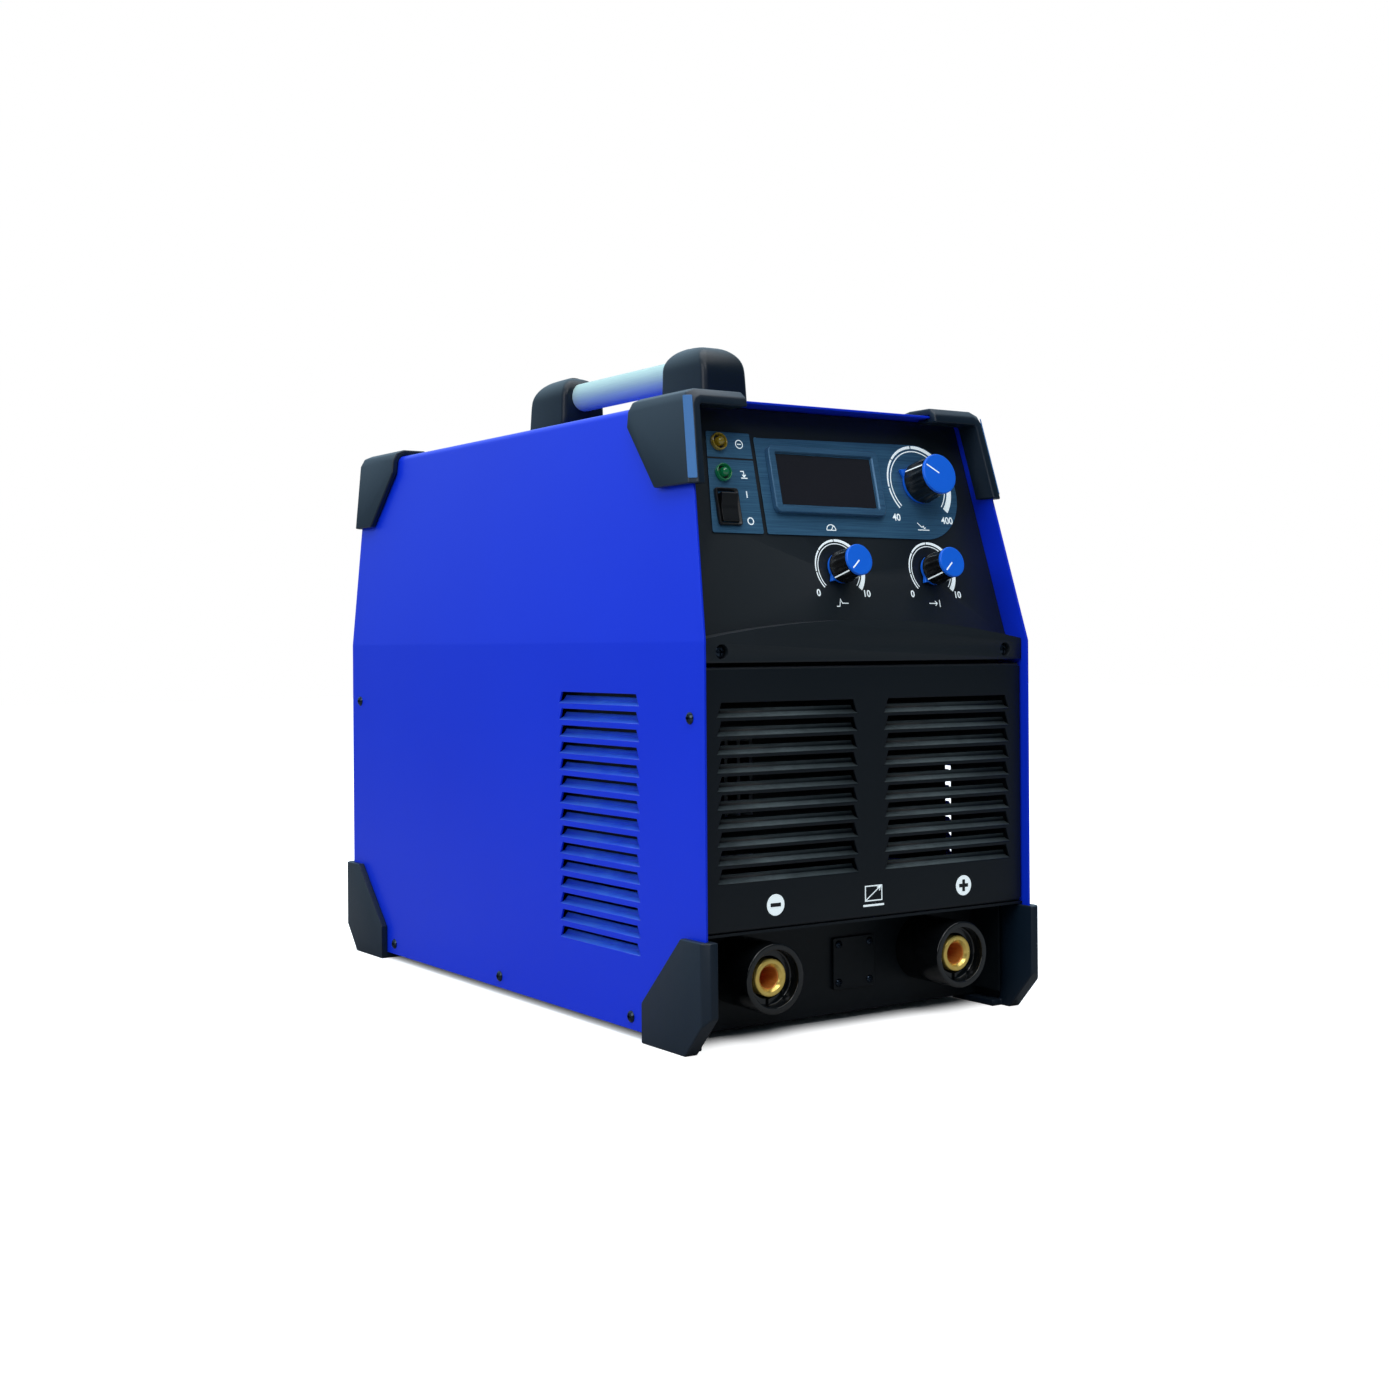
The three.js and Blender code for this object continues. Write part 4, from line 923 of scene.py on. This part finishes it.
# A dial is a thin inner line and a band outside it, in segments, that widens from its start to its end.
def dialParts(x, y, radius, low, scale):
    dial = dict(line=0.7, gap=1.5, thin=0.9, thick=4.3, growth=1.7, start=222.0, sweep=263.0,
                breaks=(35, 82, 129, 176, 222), cut=1.1)
    line, gap, thin, thick = (dial[key] * scale for key in ("line", "gap", "thin", "thick"))
    start, sweep = dial["start"], dial["sweep"]
    parts = [printedLine(arcPoints(x, y, radius, start, start - sweep, 120), line, low)]
    edges = [0, *dial["breaks"], sweep]
    inner = radius + line / 2 + gap
    for i, (a, b) in enumerate(zip(edges[:-1], edges[1:])):
        share = np.linspace(a + (dial["cut"] if i else 0), b - (dial["cut"] if i < len(edges) - 2 else 0), 26)
        angle = np.radians(start - share)
        outer = inner + thin + (thick - thin) * (share / sweep) ** dial["growth"]
        rim = np.concatenate([polar(outer, angle), polar(inner, angle)[::-1]])
        parts.append(slab(rim + [x, y], low, low + printTall))
    return parts


# Digits as a closed solid, slightly emboldened.
def textPart(text, x, y, size, low):
    curve = bpy.data.curves.new("digits", "FONT")
    curve.body, curve.size, curve.align_x, curve.align_y = text, size, "CENTER", "CENTER"
    curve.extrude, curve.resolution_u, curve.offset = printTall / 2, 4, 0.09
    holder = bpy.data.objects.new("digits", curve)
    mesh = bpy.data.meshes.new_from_object(holder)
    points = np.empty(len(mesh.vertices) * 3)
    mesh.vertices.foreach_get("co", points)
    faces = [list(face.vertices) for face in mesh.polygons]
    bpy.data.objects.remove(holder)
    bpy.data.curves.remove(curve)
    bpy.data.meshes.remove(mesh)
    return points.reshape(-1, 3) + [x, y, low + printTall / 2], faces


def strokes(lines, x, y, low, width=0.6, scale=1.0):
    return [printedLine(np.array(line, float) * scale + [x, y], width, low) for line in lines]


def ringMark(x, y, radius, width, low):
    return printedLine(arcPoints(x, y, radius, 0, 360, 33)[:-1], width, low, closed=True)


# Plain pictograms stand where the machine has captions. Each is a list of lines.
pictograms = dict(
    stop=[[(-2.6, 0.0), (2.6, 0.0)]],
    drop=[[(-2.4, 1.9), (0, 1.9)], [(0, 1.9), (0, -1.4)], [(-1.3, -0.2), (0, -1.6), (1.3, -0.2)],
          [(-2.4, -2.4), (2.4, -2.4)]],
    electrode=[[(-4.6, 2.4), (-1.2, -0.6)], [(-1.2, -0.6), (0.2, 0.2), (0.6, -1.4), (2.0, -0.8)],
               [(-4.8, -2.4), (4.8, -2.4)]],
    rising=[[(-4.8, -2.4), (-2.4, -2.4), (-1.2, 2.2), (0.0, -0.4), (4.8, -0.4)]],
    push=[[(-4.6, 0.0), (1.8, 0.0)], [(0.4, 1.6), (2.0, 0.0), (0.4, -1.6)], [(4.2, 2.4), (4.2, -2.4)]],
    gauge=[[(0, -2.2), (2.0, 1.0)], [(-3.6, -2.2), (3.6, -2.2)]],
)


# Positions and sizes are on the panel: across, up the slope.
def makePanelMarks():
    onLabel, onBezel = seat["label"], 0.0
    parts = dialParts(71.0, 105.0, 22.6, onLabel, 1.0)
    parts += [textPart("40", 48.2, 81.6, 6.6, onLabel), textPart("400", 91.0, 80.6, 6.6, onLabel)]
    parts += strokes(pictograms["electrode"], 69.5, 76.2, onLabel, 0.55)
    parts += strokes(pictograms["gauge"], -7.1, 73.6, onLabel, 0.55)
    parts.append(printedLine(arcPoints(-7.1, 71.4, 3.6, 0, 180, 20), 0.55, onLabel))
    parts.append(ringMark(-68.8, 124.6, 2.6, 0.55, onLabel))
    parts += strokes(pictograms["stop"], -68.8, 124.6, onLabel, 0.6, 0.55)
    parts += strokes(pictograms["drop"], -68.6, 105.2, onLabel)
    parts.append(printedLine([(-68.6, 90.2), (-68.6, 94.4)], 0.75, onLabel))
    parts.append(ringMark(-68.7, 75.3, 2.1, 0.7, onLabel))
    makePiece("labelMarks", placed(joinParts(*parts), onPanel), printWhite, slot="brushed_label")
    parts = []
    for x, caption in ((-5.5, "rising"), (70.5, "push")):
        parts += dialParts(x, 46.5, 16.3, onBezel, 0.76)
        parts += [textPart("0", x - 18.9, 30.6, 6.2, onBezel), textPart("10", x + 19.2, 30.4, 6.2, onBezel)]
        parts += strokes(pictograms[caption], x - 1.5, 24.6, onBezel, 0.55)
    makePiece("bezelMarks", placed(joinParts(*parts), onPanel), printWhite, slot="black_plastic")


def makePolarityMarks():
    marks = dict(negativeX=-74.0, positiveX=75.0, z=80.4, radius=6.4, bar=7.6, width=2.3, symbolX=1.0)
    z, half, width = marks["z"], marks["bar"] / 2, marks["width"]
    discs, bars = [], []
    for x in (marks["negativeX"], marks["positiveX"]):
        discs.append(slab(circle(x, z, marks["radius"], 48), 0, 0.1))
        bars.append(printedLine([(x - half, z), (x + half, z)], width, 0.1))
    bars.append(printedLine([(marks["positiveX"], z - half), (marks["positiveX"], z + half)], width, 0.11))
    x = marks["symbolX"]
    discs.append(printedLine(np.array(box2(x, z + 1, 13, 9)), 0.7, closed=True))
    discs += strokes([[(-6, -3), (5, 4.6)], [(2.6, 4.4), (5.4, 4.9), (4.6, 2.2)]], x, z, 0.0, 0.65)
    discs.append(printedLine([(x - 8.2, z - 6.4), (x + 8.2, z - 6.4)], 1.2))
    face = facingFront(5.6 - halfLong)
    makePiece("polarityDiscs", placed(joinParts(*discs), face), printWhite, slot="black_paint")
    makePiece("polarityBars", placed(joinParts(*bars), face), printDark, slot="black_paint")


makePanelMarks()
makePolarityMarks()
print("printed marks ready")


# The body is a cylinder whose radius dips in rounded flutes; the skirt ring grows a pointer where a
# triangle's edge lies outside its circle.
def knobPieces(name, x, w, radius, tall, pointer, rest, flutes):
    knob = dict(ring=2.4, cap=2.2, dip=0.055, foot=0.6, crown=0.8, wedge=15, lineHalf=0.42, lineDeep=0.8)
    foot, ringTop = seat["fitting"], seat["fitting"] + knob["ring"]
    rim, capFoot = radius - 0.2, tall - knob["cap"]
    c, s = math.cos(math.radians(rest)), math.sin(math.radians(rest))
    body, title = f"knob_{name}", name.title().replace("_", "")

    def place(p):
        a, b, out = (column(p, i) for i in range(3))
        return onPanel(np.stack([x + a * c - b * s, w + a * s + b * c, out], -1))

    def addPart(label, part, material, slot, **finish):
        makePiece(f"knob{title}{label}", placed(part, place), material, body=body, slot=slot, **finish)

    angle = np.linspace(0, 2 * np.pi, flutes * 12, endpoint=False)
    dip = knob["dip"] * np.clip(0.5 - 0.5 * np.cos(flutes * angle), 0, 1) ** 0.7
    height = np.array([ringTop + 0.3, ringTop + 0.8, ringTop + 2.0, capFoot - 2.0, capFoot - 0.9, capFoot - 0.3])
    wide = np.interp(height, [height[0], height[-1]], [rim + knob["foot"], rim - knob["crown"]])
    wide = wide + np.array([-0.4, -0.05, 0, 0, -0.1, -0.5])
    r = wide[:, None] * (1 - dip * np.array([0.1, 0.5, 1, 1, 0.6, 0.2])[:, None])
    rings = np.stack([r * np.cos(angle), r * np.sin(angle), height[:, None] + 0 * r], -1)
    rings = np.concatenate([rings, rings[-1:] * [0.5, 0.5, 1]])
    addPart("Body", loftPart(rings), glossBlack, "gloss_black", stands=[body], sharp=38)
    capWide = rim - 0.2
    cap = [(capWide - 0.3, capFoot), (capWide, capFoot + 0.3)]
    for t in np.linspace(0, np.pi / 2, 5):
        cap.append((capWide - 0.6 + 0.6 * math.cos(t), tall - 0.6 + 0.6 * math.sin(t)))
    cap = turned(cap + [(capWide - 1.2, tall)], 72)
    addPart("Cap", cap, knobBlue, "knob_blue", stands=[f"{body}_cap"], sharp=40)
    around = np.linspace(-np.pi, np.pi, 181)[:-1]
    skirt, wedge = rim - 0.3, math.radians(knob["wedge"])
    baseX, baseY = skirt * math.cos(wedge), skirt * math.sin(wedge)
    reach = pointer * baseY / (baseY * np.cos(around) + (pointer - baseX) * np.abs(np.sin(around)))
    shape = np.where(np.abs(around) < wedge, np.maximum(reach, skirt), skirt)
    addPart("Ring", slab(polar(shape, around), foot, ringTop), knobBlue, "knob_blue",
            stands=[f"{body}_ring"], bevel=0.35)
    # The white line climbs the body at the pointer and starts again on the cap.
    half, climb = knob["lineHalf"], []
    for h in (ringTop + 1.0, capFoot - 1.2):
        out = np.interp(h, [ringTop, capFoot], [rim + 0.62, rim - 0.72])
        climb.append([(out, -half, h), (out, half, h), (out - knob["lineDeep"], half, h),
                      (out - knob["lineDeep"], -half, h)])
    across = printedLine([(0.8, 0), (capWide - 1.6, 0)], 2 * half, tall - 0.02)
    addPart("Line", joinParts(loftPart(np.array(climb)), across), printWhite, "knob_blue")


knobPieces("current", x=71.0, w=105.0, radius=13.7, tall=23.5, pointer=17.6, rest=150.0, flutes=16)
for name, x in (("hot_start", -5.5), ("arc_force", 70.5)):
    knobPieces(name, x=x, w=46.5, radius=10.3, tall=21.5, pointer=13.2, rest=222.0, flutes=14)
print("knobs ready")


def makeSockets():
    socket = dict(x=74.0, z=36.2, face=46.7, depth=40.7, outer=21.1, bore=17.2, floor=32.7, well=12.7, lock=14.8,
                  lockFoot=-5.8, insert=11.4, insertFoot=-16, hole=6.6, holeFloor=9.7)
    depth, floor, lock, foot = socket["depth"], socket["floor"], socket["lock"], socket["lockFoot"]
    hole, sleeve = socket["hole"], socket["hole"] + 0.4
    collar = outline([(socket["outer"], 0), (socket["outer"], depth), (socket["bore"], depth),
                      (socket["bore"], floor), (socket["well"], floor), (socket["well"], foot), (lock, foot),
                      (lock, 0)],
                     [0, 0.9, 0.6, 1.2, 0.3, 0, 0, 0], 5)
    brass = outline([(socket["insert"], socket["insertFoot"]), (socket["insert"], depth - 5), (8.6, depth - 5),
                     (sleeve, depth - 6.7), (sleeve, socket["insertFoot"])], [0, 0.8, 0.2, 0.4, 0], 4)
    bore = [(0, -15.8), (sleeve - 0.02, -15.8), (sleeve - 0.02, depth - 7.0), (hole, depth - 7.4),
            (hole, socket["holeFloor"]), (0, socket["holeFloor"])]
    # Two small keys stand on the recess floor at the lower right.
    keys = joinParts(*[slab(outline(box2(*spot, 1.6, 3.6), 0.5, 3), floor - 0.3, floor + 1.6)
                       for spot in ((10.2, -10.2), (0.0, -14.6))])
    for title, side in (("Negative", -1), ("Positive", 1)):
        place, name = facingFront(socket["face"] - halfLong, side * socket["x"], socket["z"]), title.lower()
        makePiece(f"socket{title}Collar", placed(turnedRing(collar, 96), place), socketBlack,
                  slot="socket_plastic", stands=[f"socket_{name}"], sharp=35)
        makePiece(f"socket{title}Brass", placed(turnedRing(brass, 72), place), brassMetal,
                  slot="brass", stands=[f"socket_{name}_insert"], sharp=35)
        makePiece(f"socket{title}Bore", placed(turned(bore, 72), place), boreMetal, slot="brass", sharp=35)
        makePiece(f"socket{title}Keys", placed(keys, place), socketBlack, slot="socket_plastic", bevel=0.3)


def makeBlankPlate():
    plate = dict(x=16.8, z=32.0, width=33.5, height=32.8, thick=2.0, inset=4.2, face=46.7)
    place = facingFront(plate["face"] - halfLong, plate["x"], plate["z"])
    shape = outline(box2(0, 0, plate["width"], plate["height"]), 1.2, 5)
    makePiece("blankPlate", placed(slab(shape, 0, plate["thick"]), place), blackPaint, slot="black_paint",
              stands=["blank_plate"], bevel=0.4)
    points, faces = screwPart(2.6, 1.4)
    a, b = plate["width"] / 2 - plate["inset"], plate["height"] / 2 - plate["inset"]
    heads = [placed((points + [u, v, plate["thick"]], faces), place) for u in (-a, a) for v in (-b, b)]
    makePiece("blankPlateScrews", joinParts(*heads), screwBlack, slot="zinc_steel", sharp=60)


makeSockets()
makeBlankPlate()
print("sockets ready")


def makeFanGuard():
    guard = dict(rings=8, inner=12.0, outer=71.5, wire=1.15, lift=1.25, spoke=1.1, spokeLift=1.2, spokes=4,
                 z=150.0)
    turn = np.linspace(0, 2 * np.pi, 8, endpoint=False)
    section = np.column_stack([guard["wire"] * np.cos(turn), guard["lift"] + guard["wire"] * np.sin(turn)])
    parts = [turnedRing(section + [radius, 0], 72)
             for radius in np.linspace(guard["inner"], guard["outer"], guard["rings"])]
    across, out = guard["spoke"] * np.cos(turn), guard["spokeLift"] + guard["spoke"] * np.sin(turn)
    for k in range(guard["spokes"]):
        c, s = math.cos(math.radians(45 + 90 * k)), math.sin(math.radians(45 + 90 * k))
        parts.append(loftPart(np.stack([np.stack([r * c - across * s, r * s + across * c, out], -1)
                                        for r in (guard["inner"], guard["outer"] / 2, guard["outer"] + 1)])))
    makePiece("fanGuardWires", placed(joinParts(*parts), facingRear(rearFace, 0, guard["z"])), brightWire,
              slot="bright_wire", stands=["fan_guard"], sharp=50)


# Each blade's section is a thin curved loop round its chord; the chord turns flatter towards the tip.
def makeFanRotor():
    rotor = dict(hub=30.0, tip=67.5, blades=7, back=224.5, z=150.0, deep=38.0, chordRoot=30.0, chordTip=44.0,
                 thick=1.1, pitchRoot=48.0, pitchTip=30.0, camber=3.5, sweep=0.35, root=2.0)
    hub, deep = rotor["hub"], rotor["deep"]
    parts = [turned(outline([(0, -deep), (hub, -deep), (hub, 0), (0, 0)], [0, 2, 3, 0], 5), 64)]
    share = np.linspace(0, 1, 12)[:, None]
    loop = np.linspace(0, 2 * np.pi, 28, endpoint=False)[None]
    radius = hub - rotor["root"] + (rotor["tip"] - hub + rotor["root"]) * share
    chord = rotor["chordRoot"] + (rotor["chordTip"] - rotor["chordRoot"]) * share
    pitch = np.radians(rotor["pitchRoot"] + (rotor["pitchTip"] - rotor["pitchRoot"]) * share)
    along = np.cos(loop) * chord / 2
    lift = rotor["camber"] * (1 - np.cos(loop) ** 2) + rotor["thick"] * np.sin(loop)
    depth = np.clip(along * np.sin(pitch) + lift * np.cos(pitch) - deep / 2, -deep, 0)
    start = (along * np.cos(pitch) - lift * np.sin(pitch)) / radius + rotor["sweep"] * share
    for k in range(rotor["blades"]):
        angle = start + 2 * np.pi * k / rotor["blades"]
        parts.append(loftPart(np.stack([radius * np.cos(angle), radius * np.sin(angle), depth], -1)))
    makePiece("fanRotor", placed(joinParts(*parts), facingRear(rotor["back"], 0, rotor["z"])), fanBlack,
              body="fan_wheel", slot="fan_plastic", stands=["fan_rotor"], sharp=40)


# The gland is a hexagon, a thread behind it and a cap nut whose rings carry shallow ribs where `ribbed` is 1.
def makeGland():
    gland = dict(x=62.0, z=50.0, hexagon=15.0, tall=5.6, bore=6.9, thread=10.4, ribs=16, ribDeep=0.03)
    around = np.linspace(0, 2 * np.pi, 96, endpoint=False)
    ribs = gland["ribDeep"] * (0.5 - 0.5 * np.cos(gland["ribs"] * around))
    rings = []
    for radius, height, ribbed in ((12.2, 5.5, 0), (13, 6.2, 1), (13, 14.5, 1), (12.2, 16.5, 0.5),
                                   (10.4, 18.8, 0), (9.6, 20, 0), (7.4, 20, 0), (6.9, 19.4, 0), (6.9, 4, 0)):
        rings.append(np.column_stack([polar(radius * (1 - ribs * ribbed), around), np.full(96, float(height))]))
    nut = gridPart(np.array(rings), closeRows=True, closeColumns=True)
    bore, thread = gland["bore"], gland["thread"]
    parts = [slab(outline(circle(0, 0, gland["hexagon"], 6), 1.2, 3), 0, gland["tall"]), nut,
             turnedRing([(bore, -14), (thread, -14), (thread, 4), (bore, 4)], 48)]
    makePiece("cableGland", placed(joinParts(*parts), facingRear(rearFace, gland["x"], gland["z"])), blackMoulding,
              slot="black_plastic", stands=["cable_gland"], sharp=35)


def makeEarthStud():
    stud = dict(x=8.0, z=34.0, radius=3.9, root=0.55, pitch=1.25, tip=2.9, tall=20.0)
    turns = np.arange(9.0, 19.5, stud["pitch"] / 2)
    profile = [(0, -13.5), (stud["radius"], -13.5), (stud["radius"], 8.5)]
    profile += [(stud["radius"] - (stud["root"] if i % 2 else 0.0), h) for i, h in enumerate(turns)]
    profile += [(stud["tip"], stud["tall"]), (0, stud["tall"])]
    washer = turnedRing(outline([(4.2, 0), (9, 0), (9, 1.8), (4.2, 1.8)], 0.3, 3), 48)
    nut = slab(outline(circle(0, 0, 7.4, 6), 0.5, 3), 2.0, 8.4)
    makePiece("earthStud", placed(joinParts(turned(profile, 32), washer, nut),
                                  facingRear(rearFace, stud["x"], stud["z"])),
              brassMetal, slot="brass", stands=["earth_stud"], sharp=35)


def makeRearScrews():
    screw = dict(radius=3.0, tall=1.6, face=230.0, edge=105.0, rows=(28, 205), topEdge=88.0, topRow=352.0,
                 fan=62.5, fanZ=150.0)
    head = screwPart(screw["radius"], screw["tall"])
    spots = [(side * screw["edge"], z) for side in (-1, 1) for z in screw["rows"]]
    spots += [(side * screw["topEdge"], screw["topRow"]) for side in (-1, 1)]
    spots += [(side * screw["fan"], screw["fanZ"] + up * screw["fan"]) for side in (-1, 1) for up in (-1, 1)]
    heads = [placed(head, facingRear(screw["face"], x, z)) for x, z in spots]
    makePiece("rearScrews", joinParts(*heads), zincSteel, slot="zinc_steel", sharp=60)


makeFanGuard()
makeFanRotor()
softened("breaker_housing", "breakerHousing", blackMoulding, slot="breaker_plastic", bevel=0.7)
softened("breaker_lever", "breakerLever", glossBlack, body="breaker_toggle", slot="breaker_plastic", bevel=0.8)
makeGland()
makeEarthStud()
makeRearScrews()
print("rear ready")


# These CAD pieces keep their own shape.
kept = dict(base_tray=zincSteel, socket_panel=blackPaint, rear_panel=blackPaint, fan_frame=fanBlack,
            heatsink_lower=finMetal, heatsink_upper=finMetal, transformer_core=coreSteel,
            transformer_winding=copperWire, output_choke=copperWire, main_board=boardGreen,
            control_board=boardGreen, bus_capacitor=sleeveFilm)
for name in ("current", "hot_start", "arc_force"):
    kept[f"knob_{name}_shaft"] = zincSteel
    kept[f"potentiometer_{name}"] = zincSteel
for name, material in kept.items():
    for slot in nodes[name].material_slots:
        slot.material = material
print("kept pieces coloured")
